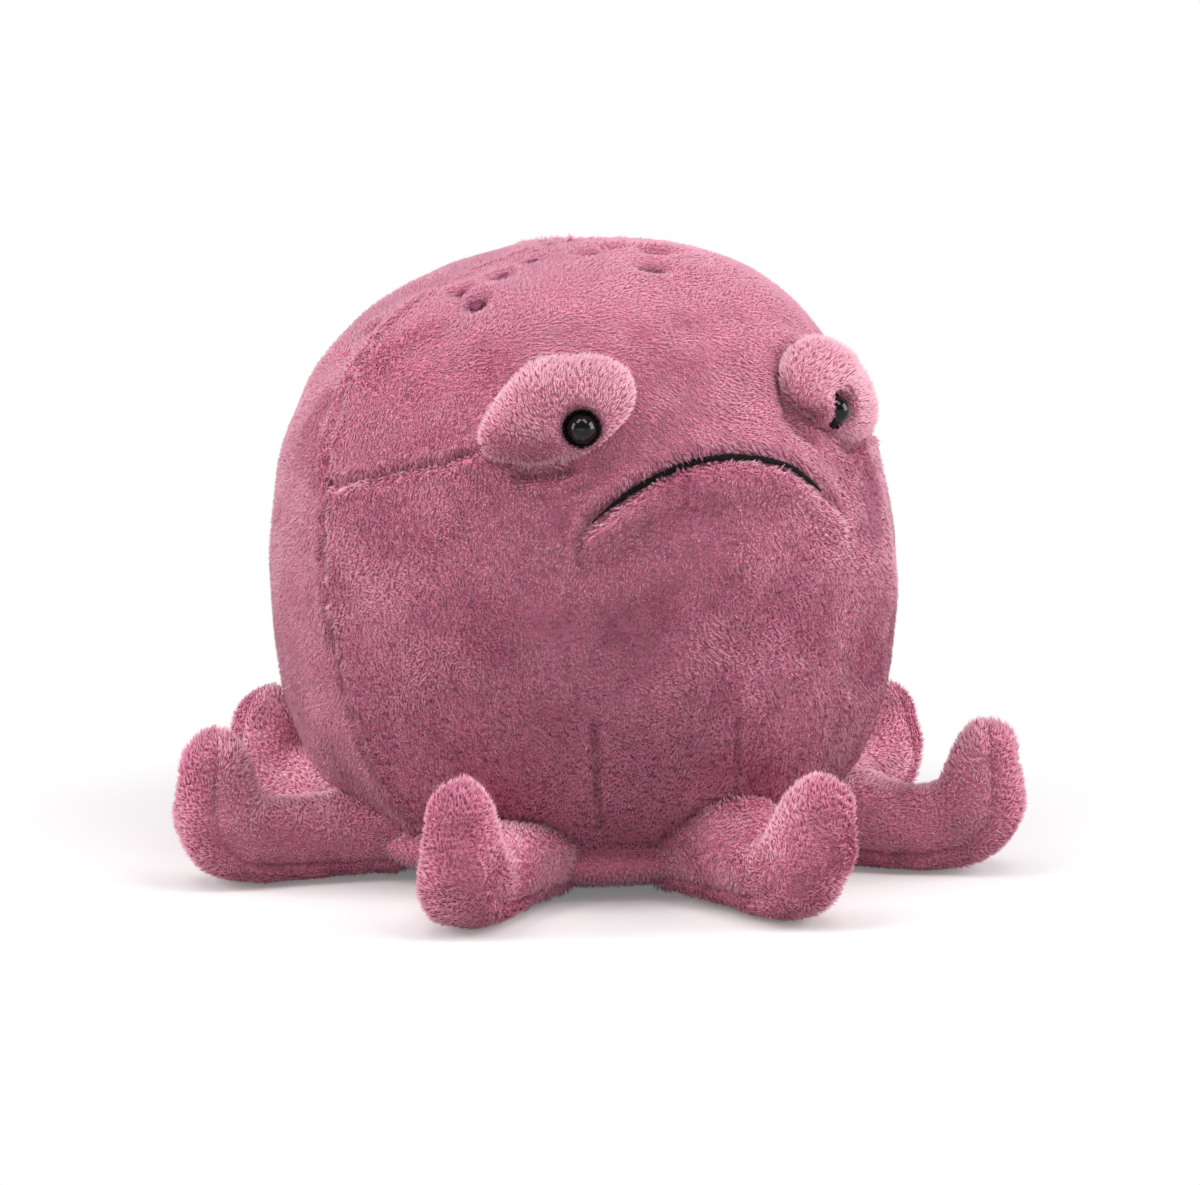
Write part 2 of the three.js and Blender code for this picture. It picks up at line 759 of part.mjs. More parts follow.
const seatsOf = (steps) => arms.map((arm) => toSolid(placed(armSeat(steps), headingMatrix(arm.heading))));
const clothSeats = seatsOf(clothSeatSteps);
const fillingSeats = seatsOf(fillingSeatSteps);
const groove = toSolid(mouthLine(mouthThickness / 2 + seamGap, seamGap));
const pits = spots.map((spot) => spotSolid(spot, seamGap, -spotDepth - seamGap, clothThickness));

const eyes = [eyeParts(-1, 'left'), eyeParts(1, 'right')];
const eyeRooms = eyes.flatMap((eye) => eye.rooms);

const panelFinish = {
  forehead_panel: crownCloth,
  left_back_panel: crownCloth,
  right_back_panel: crownCloth,
  chin_panel: frontCloth,
  left_cheek_panel: frontCloth,
  right_cheek_panel: frontCloth,
};
for (const [name, panel] of Object.entries(panels)) {
  add(name, without(panel, [...clothSeats, ...pits, groove, ...eyeRooms]), panelFinish[name]);
}
add('base_panel', without(baseDish(), clothSeats), soleCloth);
add('body_filling', without(bodyFilling(), [...fillingSeats, ...eyeRooms]), fibre);
add('pellet_pouch', toSolid(turned(pouchOutline(0, clothThickness + seamGap), bodyColumns)), pouchCloth);
add('mouth_stitching', toSolid(mouthLine(mouthThickness / 2, 0)), blackThread);
spots.forEach((spot, index) => {
  add(`crown_spot_${index + 1}`, spotSolid(spot, 0, -spotDepth, -spotDepth + spotThickness), spotThread);
});
for (const eye of eyes) {
  for (const [name, solid, finish] of eye.pieces) add(name, solid, finish);
}
for (const arm of arms) {
  const group = new THREE.Group();
  group.applyMatrix4(headingMatrix(arm.heading).multiply(hingeMatrix()));
  for (const [name, solid, finish] of armPieces(arm)) addTo(group, name, solid, finish);
  octopus.add(group);
}

export default octopus;
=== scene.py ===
"""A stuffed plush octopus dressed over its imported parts: skins, pile, stitching and eyes."""

import math

import bpy
import numpy as np
from mathutils import Matrix, Vector


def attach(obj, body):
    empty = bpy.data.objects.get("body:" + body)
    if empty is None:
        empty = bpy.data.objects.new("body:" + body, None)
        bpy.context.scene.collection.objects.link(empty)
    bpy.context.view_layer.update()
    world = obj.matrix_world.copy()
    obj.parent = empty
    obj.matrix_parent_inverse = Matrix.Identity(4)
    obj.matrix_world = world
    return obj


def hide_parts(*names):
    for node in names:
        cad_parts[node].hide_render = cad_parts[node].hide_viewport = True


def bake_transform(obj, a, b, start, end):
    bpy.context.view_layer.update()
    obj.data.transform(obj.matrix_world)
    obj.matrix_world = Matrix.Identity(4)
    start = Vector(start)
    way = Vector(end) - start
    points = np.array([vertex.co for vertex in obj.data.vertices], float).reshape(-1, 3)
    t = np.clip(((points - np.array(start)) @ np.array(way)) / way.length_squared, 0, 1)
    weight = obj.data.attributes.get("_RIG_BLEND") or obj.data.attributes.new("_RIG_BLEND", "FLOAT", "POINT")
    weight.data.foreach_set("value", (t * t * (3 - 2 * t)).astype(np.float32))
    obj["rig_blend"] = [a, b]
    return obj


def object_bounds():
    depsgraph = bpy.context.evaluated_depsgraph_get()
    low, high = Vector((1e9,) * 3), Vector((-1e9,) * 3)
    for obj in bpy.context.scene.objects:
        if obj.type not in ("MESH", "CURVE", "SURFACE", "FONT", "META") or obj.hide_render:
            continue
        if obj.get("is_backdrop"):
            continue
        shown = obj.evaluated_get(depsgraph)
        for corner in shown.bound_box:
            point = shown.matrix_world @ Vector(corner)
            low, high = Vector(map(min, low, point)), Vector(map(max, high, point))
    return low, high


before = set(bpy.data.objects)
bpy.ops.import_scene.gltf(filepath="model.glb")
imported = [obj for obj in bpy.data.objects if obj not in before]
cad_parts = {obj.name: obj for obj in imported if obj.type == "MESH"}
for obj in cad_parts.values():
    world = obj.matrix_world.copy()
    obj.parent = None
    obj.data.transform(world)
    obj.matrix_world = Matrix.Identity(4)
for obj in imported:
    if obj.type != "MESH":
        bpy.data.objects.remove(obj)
cad_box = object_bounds()

MM = 0.001

# Camera, light and floor, lengths in metres, the sensor and the floor in millimetres

IMAGE_WIDTH = 1200
IMAGE_HEIGHT = 1185
SENSOR = 36.0
CAMERA_AZIMUTH = -28.0
CAMERA_ELEVATION = 9.3
CAMERA_DISTANCE = 1.6
METRES_PER_PIXEL = 0.000322
TARGET = (0.0, 0.0, 0.098)
TARGET_PIXEL = (584.5, 548.0)
FLOOR_HALF = 14000
SKY_LIGHT = 0.26
WHITE = (1, 1, 1, 1)

# Name, azimuth, elevation, distance, size and light level of each softbox

SOFTBOXES = [
    ("Left overhead softbox", -78, 66, 1.4, (0.45, 0.8), 0.32),
    ("Right overhead softbox", 22, 66, 1.4, (0.45, 0.8), 0.32),
    ("Left side softbox", -108, 22, 1.5, (0.9, 1.0), 0.72),
    ("Right side softbox", 57, 22, 1.5, (0.9, 1.0), 0.8),
    ("Front fill softbox", -35, 6, 1.75, (1.6, 0.8), 0.078),
]

# Body, lengths in millimetres

BODY_RADIUS = 100.0
BODY_HEIGHT = 198.0
CHIN_SWELL = 3.0
MOUTH_TURN = 26.5
BODY_OUTLINE = [
    (0.5, 0), (0.63, 0.025), (0.75, 0.07), (0.845, 0.126), (0.92, 0.19), (0.975, 0.28),
    (1, 0.394), (1, 0.505), (0.97, 0.616), (0.92, 0.717), (0.835, 0.808), (0.705, 0.884),
    (0.53, 0.944), (0.29, 0.985), (0, 1),
]
SIDE_SEAM = np.array([
    (-0.28, 0), (-0.25, 0.195), (-0.21, 0.31), (-0.125, 0.555), (-0.1, 0.64),
    (-0.03, 0.77), (0, 0.89), (0.1, 0.98),
])
BROW_TURNS = [0, 9, 17, 23, 26.5, 29, 36, 42, 47, 60, 84, 110]
BROW_HEIGHTS = [
    0.703, 0.696, 0.664, 0.63, 0.604, 0.69, 0.69, 0.69, 0.722, 0.689, 0.636, 0.636,
]
MOUTH_TURNS = [-26.9, -25.2, -21.5, -17.8, -12, -5.8, 0.6, 7.3, 14.3, 20, 23.7, 26.9]
MOUTH_HEIGHTS = [121, 123.9, 128.4, 132.2, 136.4, 139, 139.4, 138, 134.6, 127.8, 122.6, 117.4]
BASE_SEAM_HEIGHT = 16.5
BASE_OUTLINE = [
    (0, 0.8), (30, 0.8), (54, 1), (66, 2), (75, 4.2), (81, 7.4), (83.4, 10.8),
    (82.4, 13.8), (78.8, 16.2),
]
BACK_SPLIT_HEIGHT = 112.0
PILE_STAND = 1.1
ROW_STEP = 1.5
COLUMNS = 420
BASE, FOREHEAD, CHIN, LEFT_CHEEK, RIGHT_CHEEK, LEFT_BACK, RIGHT_BACK = range(7)

# Relief of the body's skin and parting of its pile, lengths in millimetres

BASE_SEAM_DEPTH = 0.5
LOWER_LIP = 2.2
UPPER_LIP = 1.0
CROWN_CREASE_DEPTH = 0.8
WRINKLE_DEPTH = 0.45
WRINKLE_STEP = 3.4
PIT_DEPTH = 3.4
PARTING_WIDTH = 1.4
PARTING_LEAN = 0.25

# Place, height and reach of the wide unevennesses of the stuffing

BODY_SWELLS = [
    ((-46, 20, 188), -3.6, 28), ((-88, 45, 131), 2.0, 34), ((80, -42, 150), -1.2, 30),
    ((36, -18, 190), 1.2, 26), ((-30, 0, 194), -1.5, 24),
]

# Arms, lengths in millimetres

ARM_ROOT_RADIUS = 76.0
ARM_HALF_HEIGHT = 13.8
ARM_REACH = 52.0
ARM_TIP_RISE = 25.0
ARM_HALF_WIDTH = 22.0
ARM_TIP_RADIUS = 12.0
SECTION_POWER = 2.6
TIP_SLIMMING = 1.2
SOLE_SEAM = 0.42
SOLE_SEAM_DEPTH = 1.2
HINGE_HEIGHT = 12.4846
BLEND_REACH = (-2, 14)
ARM_STEPS = 40
ARM_COLUMNS = 44
BEND_PASSES = 30
PUFF_FRAMES = 20
PUFF_LIMIT = 1.6
PUFF_SETTINGS = {
    "use_pressure": True, "uniform_pressure_force": 2.0, "tension_stiffness": 20,
    "compression_stiffness": 8, "bending_stiffness": 0.4, "quality": 6, "mass": 0.2,
}

# Reach, rise, turn, height and width of an arm's stations, in shares of its own

ARM_STATIONS = [
    (0.1, 0, 0, 1, 0.93), (0.4, 0, 0, 1.02, 0.73), (0.7, 0.02, 8, 1.06, 0.66),
    (0.9, 0.16, 42, 1.16, 0.66), (1, 0.5, 74, 1.1, 0.64), (1.01, 1, 92, 0.93, 0.56),
]

# Name, heading, shares of the rise and the reach, lean of the tip, height of the hump

ARMS = [
    ("front_arm", 3, 0.86, 1, 9, 7),
    ("front_right_arm", 46, 0.96, 1.05, 3, 3),
    ("right_arm", 94, 0.72, 0.785, 0, 2),
    ("rear_right_arm", 137.3, 0.88, 0.8, 4, 2),
    ("rear_arm", 176.5, 0.95, 1, -3, 2),
    ("rear_left_arm", -142, 0.77, 0.73, 0, 1),
    ("left_arm", -92, 1.0, 0.99, 3, -1),
    ("front_left_arm", -45, 0.9, 0.98, 2, 0.5),
]

# Eyes, lengths in millimetres

EYE_TURN = 33.0
EYE_HEIGHT = 0.783 * BODY_HEIGHT
MOUND_HALF = (24.0, 17.0, 10.0)
MOUND_SLANT = 18.0
MOUND_INSET = 1.8
MOUND_TAIL = {-1: 0.16, 1: 0.0}
MOUND_DROOP = 5.0
MOUND_RIDGE = 1.4
BEAD_RADIUS = 5.0
BEAD_TURN = 28.5
BEAD_HEIGHT = 0.752 * BODY_HEIGHT
BEAD_TILT = 10.0
BEAD_STANDOFF = 4.0
DIMPLE_RADIUS = 6.1
DIMPLE_FLARE = 3.4
INNER_LIP = 7.0
INNER_FOLD = 3.5
RING_STITCHES = 64

# Stitches, lengths in millimetres

BLACK_THREAD_WIDTH = 0.62
SPOT_THREAD_WIDTH = 0.75
SPOT_THREADS = 9
SPOT_THREAD_DEPTH = 2.9
MOUTH_STITCH_STEP = 0.34
MOUTH_LINE_WIDTH = 2.05

# Crown spots: x, y, half length, half width, turn

SPOTS = [
    (-51.6, -23.4, 6.0, 4.4, 55), (-50.6, -9.7, 3.8, 2.8, 40), (-35.5, -11.0, 4.6, 3.2, 30),
    (-21.8, -4.4, 3.8, 3.0, 20), (-6.4, -14.4, 3.4, 2.8, 10), (4.2, -10.9, 3.2, 2.6, 0),
    (14.4, -20.6, 4.6, 3.6, -20), (5.2, -35.9, 5.8, 4.6, -15), (-70.4, 14.3, 4.0, 3.0, 60),
]


# Curves and bodies of revolution


def spline(points, shares):
    """Points on a smooth curve through the given ones, at shares from 0 to 1."""
    points = np.asarray(points, float)
    count = len(points)
    place = np.clip(np.asarray(shares, float), 0, 1) * (count - 1)
    low = np.minimum(place.astype(int), count - 2)
    part = (place - low)[:, None]
    before, start = points[np.maximum(low - 1, 0)], points[low]
    end, after = points[low + 1], points[np.minimum(low + 2, count - 1)]
    leave, arrive = (end - before) / 2, (after - start) / 2
    cubic = (2 * start - 2 * end + leave + arrive) * part**3
    square = (-3 * start + 3 * end - 2 * leave - arrive) * part**2
    return cubic + square + leave * part + start


def unit(vectors):
    return vectors / np.maximum(np.linalg.norm(vectors, axis=-1, keepdims=True), 1e-9)


def evenly(points, step):
    """The same polyline with points about a step apart."""
    points = np.asarray(points, float)
    lengths = np.linalg.norm(np.diff(points, axis=0), axis=1)
    along = np.concatenate([[0], np.cumsum(lengths)])
    places = np.linspace(0, along[-1], max(int(round(along[-1] / step)), 1) + 1)
    return np.stack([np.interp(places, along, column) for column in points.T], 1)


body_outline = spline(BODY_OUTLINE, np.linspace(0, 1, 3001)) * (BODY_RADIUS, BODY_HEIGHT)
above_base = body_outline[body_outline[:, 1] > BASE_SEAM_HEIGHT + 0.8]
body_profile = evenly(
    np.concatenate([spline(BASE_OUTLINE, np.linspace(0, 1, 200)), above_base]), ROW_STEP
)
profile_along = unit(np.gradient(body_profile, axis=0))
WALL_ROW = int(np.searchsorted(body_profile[:, 1], BASE_SEAM_HEIGHT))


def direction(turn):
    """The level way outwards at a turn in degrees, where 0 is the front and 90 the right."""
    turn = np.radians(turn)
    return np.stack([np.sin(turn), -np.cos(turn), np.zeros_like(turn)], -1)


def turn_of(points):
    return np.degrees(np.arctan2(points[:, 0], -points[:, 1]))


def wall(height, rows=body_profile, column=0):
    """The radius of the body's wall at heights, or another value of its rows there."""
    return np.interp(height, body_profile[WALL_ROW:, 1], rows[WALL_ROW:, column])


def chin_bulge(turn, height):
    side = np.cos(np.minimum(np.abs(turn / (2 * MOUTH_TURN)), 1) * np.pi / 2)
    rise = np.sin(np.clip(height / (BROW_HEIGHTS[0] * BODY_HEIGHT), 0, 1) * np.pi)
    return CHIN_SWELL * side**2 * rise


def brow_height(turn):
    return np.interp(np.abs(turn), BROW_TURNS, BROW_HEIGHTS) * BODY_HEIGHT


def mouth_height(turn):
    return np.interp(turn, MOUTH_TURNS, MOUTH_HEIGHTS)


def side_seam_back(height):
    """How far behind the middle the side seams run at heights."""
    return np.interp(height / BODY_HEIGHT, SIDE_SEAM[:, 1], SIDE_SEAM[:, 0]) * BODY_RADIUS


def on_body(turn, height, out=0.0):
    """Points of the body's outer surface at turns and heights, moved out along its normal."""
    turn, height = np.broadcast_arrays(np.asarray(turn, float), np.asarray(height, float))
    out = out + chin_bulge(turn, height)
    points = direction(turn) * (wall(height) + wall(height, profile_along, 1) * out)[..., None]
    points[..., 2] = height - wall(height, profile_along) * out
    return points


def body_normal(turn, height):
    along = on_body(turn, height + 4) - on_body(turn, height - 4)
    return unit(np.cross(direction(turn + 90), along))


def nearest_on_line(points, line, within=14.0):
    """Each point's way from a polyline near it, how long that is, and its share along."""
    away = np.zeros((len(points), 3))
    best = np.full(len(points), 1e9)
    share = np.zeros(len(points))
    low, high = line.min(0) - within, line.max(0) + within
    near = np.flatnonzero(((points > low) & (points < high)).all(1))
    for index in range(len(line) - 1):
        start, step = line[index], line[index + 1] - line[index]
        part = np.clip((points[near] - start) @ step / max(step @ step, 1e-12), 0, 1)
        offset = points[near] - start - part[:, None] * step
        far = np.linalg.norm(offset, axis=1)
        nearer = far < best[near]
        found = near[nearer]
        away[found], best[found] = offset[nearer], far[nearer]
        share[found] = (index + part[nearer]) / (len(line) - 1)
    return away, best, share


def bell(distance, width):
    return np.exp(-((distance / width) ** 2))


def waves(points, size, seed, count=9):
    """A smooth unevenness from -1 to 1 or so, whose lumps are about a size across."""
    draw = np.random.default_rng(seed)
    total = np.zeros(len(points))
    for _ in range(count):
        way = draw.normal(size=3)
        way *= draw.uniform(0.7, 1.4) / np.linalg.norm(way)
        total += np.sin(points @ way * np.pi / size + draw.uniform(0, 2 * np.pi))
    return total / math.sqrt(count / 2) / 1.6


def scatter_waves(points, size, seed):
    """Such an unevenness along each of the three axes."""
    return np.stack([waves(points, size, seed + axis) for axis in range(3)], 1)


def tangent_part(vectors, normals):
    """What is left of vectors when they are laid flat on a surface."""
    return vectors - (vectors * normals).sum(1)[:, None] * normals


def swung_about(tangent, normals, degrees):
    """Tangents turned about the normals, each by its own angle."""
    swing = np.radians(degrees)[:, None]
    return tangent * np.cos(swing) + np.cross(normals, tangent) * np.sin(swing)


def around(count, first=0.0):
    """Even angles of a whole turn."""
    return 2 * np.pi * (np.arange(count) + first) / count


def fading(value, start, end):
    """0 at the start and 1 at the end, straight between them and level outside."""
    return np.clip((value - start) / (end - start), 0, 1)


# Meshes


def place_in_scene(name, data):
    """An object at the origin that holds a mesh, a lamp or a camera."""
    placed = bpy.data.objects.new(name, data)
    bpy.context.scene.collection.objects.link(placed)
    return placed


def make_object(name, points, faces):
    """A smooth mesh at the origin, whose points are given in millimetres."""
    mesh = bpy.data.meshes.new(name)
    mesh.from_pydata((np.asarray(points) * MM).tolist(), [], faces)
    mesh.update()
    mesh.polygons.foreach_set("use_smooth", [True] * len(mesh.polygons))
    return place_in_scene(name, mesh)


def ring_faces(rows, columns):
    """Faces of a closed form of rings, whose two poles are its last two points."""
    here = np.arange(rows * columns).reshape(rows, columns)
    beside = np.roll(here, -1, 1)
    faces = np.stack([here[:-1], beside[:-1], beside[1:], here[1:]], -1).reshape(-1, 4).tolist()
    ends = np.stack([here[0], beside[0], here[-1], beside[-1]], 1).tolist()
    for bottom, after_bottom, top, after_top in ends:
        faces.append((rows * columns, after_bottom, bottom))
        faces.append((top, after_top, rows * columns + 1))
    return faces


def closed_form(name, rings, first, last):
    rows, columns = rings.shape[:2]
    points = np.concatenate([rings.reshape(-1, 3), [first], [last]])
    return make_object(name, points, ring_faces(rows, columns))


def vectors_of(collection, name):
    """One vector of each item of a mesh's collection."""
    values = np.zeros(len(collection) * 3)
    collection.foreach_get(name, values)
    return values.reshape(-1, 3)


def points_of(piece):
    return vectors_of(piece.data.vertices, "co") / MM


def move_points(piece, points):
    piece.data.vertices.foreach_set("co", (np.asarray(points) * MM).ravel())
    piece.data.update()


def normals_of(piece):
    return vectors_of(piece.data.vertex_normals, "vector")


def set_attribute(piece, name, values, domain="POINT"):
    values = np.asarray(values)
    kind = {"i": "INT", "f": "FLOAT"}[values.dtype.kind] if values.ndim == 1 else "FLOAT_VECTOR"
    attribute = piece.data.attributes.new(name, kind, domain)
    attribute.data.foreach_set("vector" if values.ndim == 2 else "value", values.ravel())


# Node trees, for shaders and for geometry alike


class Reading:
    """A node's output. Reckoning with it adds the Math nodes."""

    def __init__(self, tree, socket):
        self.tree = tree
        self.socket = socket

    def reckon(self, operation, *values):
        settings = {"operation": operation}
        return self.tree.node("ShaderNodeMath", settings, dict(enumerate(values)))

    def __add__(self, other):
        return self.reckon("ADD", self, other)

    def __mul__(self, other):
        return self.reckon("MULTIPLY", self, other)

    def __sub__(self, other):
        return self.reckon("SUBTRACT", self, other)

    def __rsub__(self, other):
        return self.reckon("SUBTRACT", other, self)

    __radd__ = __add__
    __rmul__ = __mul__

    def largest(self, other):
        return self.reckon("MAXIMUM", self, other)

    def eased(self, low, high):
        """0 below low and 1 above high, with a soft change between them."""
        ranges = {"Value": self, "From Min": low, "From Max": high}
        settings = {"interpolation_type": "SMOOTHSTEP"}
        return self.tree.node("ShaderNodeMapRange", settings, ranges)

    def other(self, name):
        """Another output of the same node."""
        return Reading(self.tree, self.socket.node.outputs[name])


class Tree:
    """A node tree, whose nodes all come from one method."""

    def __init__(self, nodes):
        self.nodes = nodes

    def node(self, kind, settings=None, values=None, output=0):
        node = self.nodes.nodes.new(kind)
        for name, setting in (settings or {}).items():
            setattr(node, name, setting)
        for name, value in (values or {}).items():
            if isinstance(value, Reading):
                self.nodes.links.new(value.socket, node.inputs[name])
            else:
                node.inputs[name].default_value = value
        return Reading(self, node.outputs[output]) if node.outputs else node

    def vector(self, operation, *values, output=0):
        inputs = dict(enumerate(values))
        return self.node("ShaderNodeVectorMath", {"operation": operation}, inputs, output)

    def scaled(self, vector, factor):
        values = {0: vector, "Scale": factor}
        return self.node("ShaderNodeVectorMath", {"operation": "SCALE"}, values)

    def upward(self, vector):
        return self.node("ShaderNodeSeparateXYZ", None, {0: vector}).other("Z")

    def mixed(self, factor, first, second):
        """A mix of two colours."""
        values = {0: factor, 6: first, 7: second}
        return self.node("ShaderNodeMix", {"data_type": "RGBA"}, values, 2)

    def stored(self, geometry, name, value, kind="FLOAT", domain="POINT"):
        return self.node(
            "GeometryNodeStoreNamedAttribute", {"data_type": kind, "domain": domain},
            {"Geometry": geometry, "Name": name, "Value": value},
        )

    def named(self, name, kind="FLOAT"):
        return self.node("GeometryNodeInputNamedAttribute", {"data_type": kind}, {"Name": name})

    def between(self, low, high, seed):
        """A random number for each point."""
        values = {2: low, 3: high, "Seed": seed}
        return self.node("FunctionNodeRandomValue", {"data_type": "FLOAT"}, values, 1)

    def place(self):
        return self.node("ShaderNodeTexCoord", output="Object")

    def carried(self, name):
        """An attribute of the mesh."""
        return self.node("ShaderNodeAttribute", {"attribute_name": name}, output="Fac")

    def noise(self, size, detail=2.0, roughness=0.5, where=None):
        """An even noise whose lumps are about a size across, in metres."""
        where = where or self.place()
        values = {"Vector": where, "Scale": 1 / size, "Detail": detail, "Roughness": roughness}
        return self.node("ShaderNodeTexNoise", None, values)


def colour(red, green, blue):
    """A colour from the 0 to 255 values that it shows on a screen."""
    shares = [value / 255 for value in (red, green, blue)]
    linear = [s / 12.92 if s <= 0.04045 else ((s + 0.055) / 1.055) ** 2.4 for s in shares]
    return (*linear, 1.0)


def new_material(name):
    material = bpy.data.materials.new(name)
    material.use_nodes = True
    material.node_tree.nodes.clear()
    return material, Tree(material.node_tree)


def finish_material(tree, base, roughness, gloss, bump=None, bump_depth=0.0):
    """One principled shader and its output, with an optional bump in metres."""
    values = {"Base Color": base, "Roughness": roughness, "Specular IOR Level": gloss}
    if bump is not None:
        heights = {"Height": bump, "Strength": 1.0, "Distance": bump_depth}
        values["Normal"] = tree.node("ShaderNodeBump", None, heights)
    shader = tree.node("ShaderNodeBsdfPrincipled", None, values)
    tree.node("ShaderNodeOutputMaterial", None, {"Surface": shader})


# Finishes


# Painted shade in the seams, the crown pits and the eye dimples
CREASE_SHADE_ROSE = colour(96, 34, 62)
# Painted shade in flecks between clumps of fibres and towards the bottom of the face
PAINTED_SHADE_ROSE = colour(156, 62, 98)


def plush_pile(name, tints, flecks, low=0.0, patch_shade_share=0.42):
    """Fibres pale at their tip and darkened at their root with painted shade, with more painted shade in
    patches, flecks, creases and towards the bottom, in slightly uneven dye.
    """
    material, tree = new_material(name)
    root, body, tip = [colour(*tint) for tint in tints]
    share, tone_and_crease_shade, place = tree.carried("tip"), tree.carried("tone_and_crease_shade"), tree.place()
    brushed_pile_shade = tree.noise(0.028)
    fine = tree.noise(0.005, 1.0)
    speck = tree.noise(0.0024, 1.0, where=tree.vector("MULTIPLY", place, (1, 1, 2)))
    # Darker at the root: painted shade deep in the pile
    shade = tree.mixed(share.eased(-0.2, 0.4), root, body)
    shade = tree.mixed(share.eased(0.1, 0.9) * (0.6 + 0.4 * tone_and_crease_shade), shade, tip)
    # Painted shade in wide patches, where the pile lies against its nap, and in a finer mottle
    patch = brushed_pile_shade.eased(0.42, 0.66) * patch_shade_share + fine.eased(0.35, 0.7) * 0.16
    shade = tree.mixed(patch, shade, root)
    # Painted shade: dark flecks between clumps of fibres, and a darkening towards the bottom where the face
    # gets less light from above
    deep = speck.eased(0.5, 0.68) * flecks + (1 - tree.upward(place).eased(0.02, 0.1)) * low
    shade = tree.mixed(deep, shade, PAINTED_SHADE_ROSE)
    # Painted shade in the seams, pits and dimples, where the crease value pushes the per-fibre value below
    # zero
    shade = tree.mixed((0 - tone_and_crease_shade).eased(0.0, 1.0) * 0.8, shade, CREASE_SHADE_ROSE)
    finish_material(tree, shade, 0.8 + 0.1 * share, 0.25)
    return material


def plush_backing(name, dark, light):
    """The knitted ground that the pile is bound into."""
    material, tree = new_material(name)
    knit = {"Vector": tree.place(), "Scale": 450.0, "Distortion": 4.0, "Detail": 1.0}
    rows = tree.node("ShaderNodeTexWave", {"bands_direction": "Z"}, knit, 1)
    lumps = tree.noise(0.0011, 3.0, 0.6)
    patches = tree.noise(0.02)
    base = tree.mixed(lumps.eased(0.3, 0.7) * 0.7 + patches * 0.3, dark, light)
    # Painted shade in the seams, pits and dimples
    base = tree.mixed(tree.carried("crease").eased(0.1, 0.9), base, CREASE_SHADE_ROSE)
    finish_material(tree, base, 0.9 - 0.1 * lumps, 0.2, lumps * 0.7 + rows * 0.3, 0.0006)
    return material


def thread_finish(name, dark, light):
    """Embroidery thread, with the sheen of its twisted strands."""
    material, tree = new_material(name)
    strands = tree.noise(0.0006)
    base = tree.mixed(strands.eased(0.35, 0.7), dark, light)
    finish_material(tree, base, 0.6 + 0.2 * strands, 0.12, strands, 0.00012)
    return material


def bead_finish():
    """Polished black plastic with the faint unevenness of a moulded surface."""
    material, tree = new_material("Polished_black_bead")
    smears = tree.noise(0.0022, 3.0)
    base = tree.mixed(smears, colour(7, 7, 9), colour(13, 12, 14))
    finish_material(tree, base, 0.03 + 0.05 * smears.eased(0.5, 0.9), 0.32)
    return material


def washer_finish():
    material, tree = new_material("Natural_washer_plastic")
    cloudy = tree.noise(0.004, 3.0)
    base = tree.mixed(cloudy, colour(226, 224, 217), colour(238, 236, 230))
    finish_material(tree, base, 0.42 + 0.15 * cloudy, 0.5, cloudy, 0.00008)
    return material


# Fibre colours at the root, half way up and at the tip
# These are copies of one rose pile made lighter and darker per part as painted light and shade: the arms,
# mounds and base lighter where their pile sits in shade, the soles darker where they face the lamps, the
# crown with lighter roots and duller tips to even out its light and shade
ROSE = [(188, 98, 132), (246, 168, 194), (255, 208, 222)]
PALE = [(224, 148, 172), (236, 168, 190), (240, 184, 202)]
ARM = [(240, 160, 188), (254, 188, 210), (255, 208, 222)]
MOUND = [(244, 170, 194), (254, 194, 212), (254, 208, 220)]
SOLE = [(220, 128, 164), (236, 156, 182), (240, 184, 202)]

crown_pile = plush_pile("Rose_crown_pile", PALE, 0.12, 0.0, 0.25)
face_pile = plush_pile("Rose_face_pile", ROSE, 0.55, 0.36, 0.5)
arm_pile = plush_pile("Rose_arm_pile", ARM, 0.3)
mound_pile = plush_pile("Rose_mound_pile", MOUND, 0.2)
sole_pile = plush_pile("Rose_sole_pile", SOLE, 0.3)
base_pile = plush_pile("Rose_base_pile", ARM, 0.1)
rose_backing = plush_backing("Rose_knitted_backing", colour(202, 104, 140), colour(238, 152, 180))
# A lighter copy of the backing: painted light in the shaded gaps of the arm and mound pile
arm_backing = plush_backing("Arm_knitted_backing", colour(230, 130, 164), colour(250, 174, 198))
black_thread = thread_finish("Black_embroidery_thread", colour(5, 4, 5), colour(22, 16, 19))
spot_thread = thread_finish("Mauve_spot_thread", colour(130, 60, 88), colour(164, 90, 116))
black_bead = bead_finish()
washer_plastic = washer_finish()


# Geometry Nodes: what both trees share


def begin_tree(name, numbers, counts):
    """A geometry tree with named inputs, their identifiers and a reader of them."""
    nodes = bpy.data.node_groups.new(name, "GeometryNodeTree")
    kinds = {"Geometry": "Geometry", **dict.fromkeys(numbers, "Float")}
    kinds |= {**dict.fromkeys(counts, "Int"), "Finish": "Material"}
    inputs = {}
    for label, kind in kinds.items():
        socket = nodes.interface.new_socket(label, in_out="INPUT", socket_type="NodeSocket" + kind)
        inputs[label] = socket.identifier
    nodes.interface.new_socket("Geometry", in_out="OUTPUT", socket_type="NodeSocketGeometry")
    tree = Tree(nodes)
    return tree, inputs, tree.node("NodeGroupInput").other


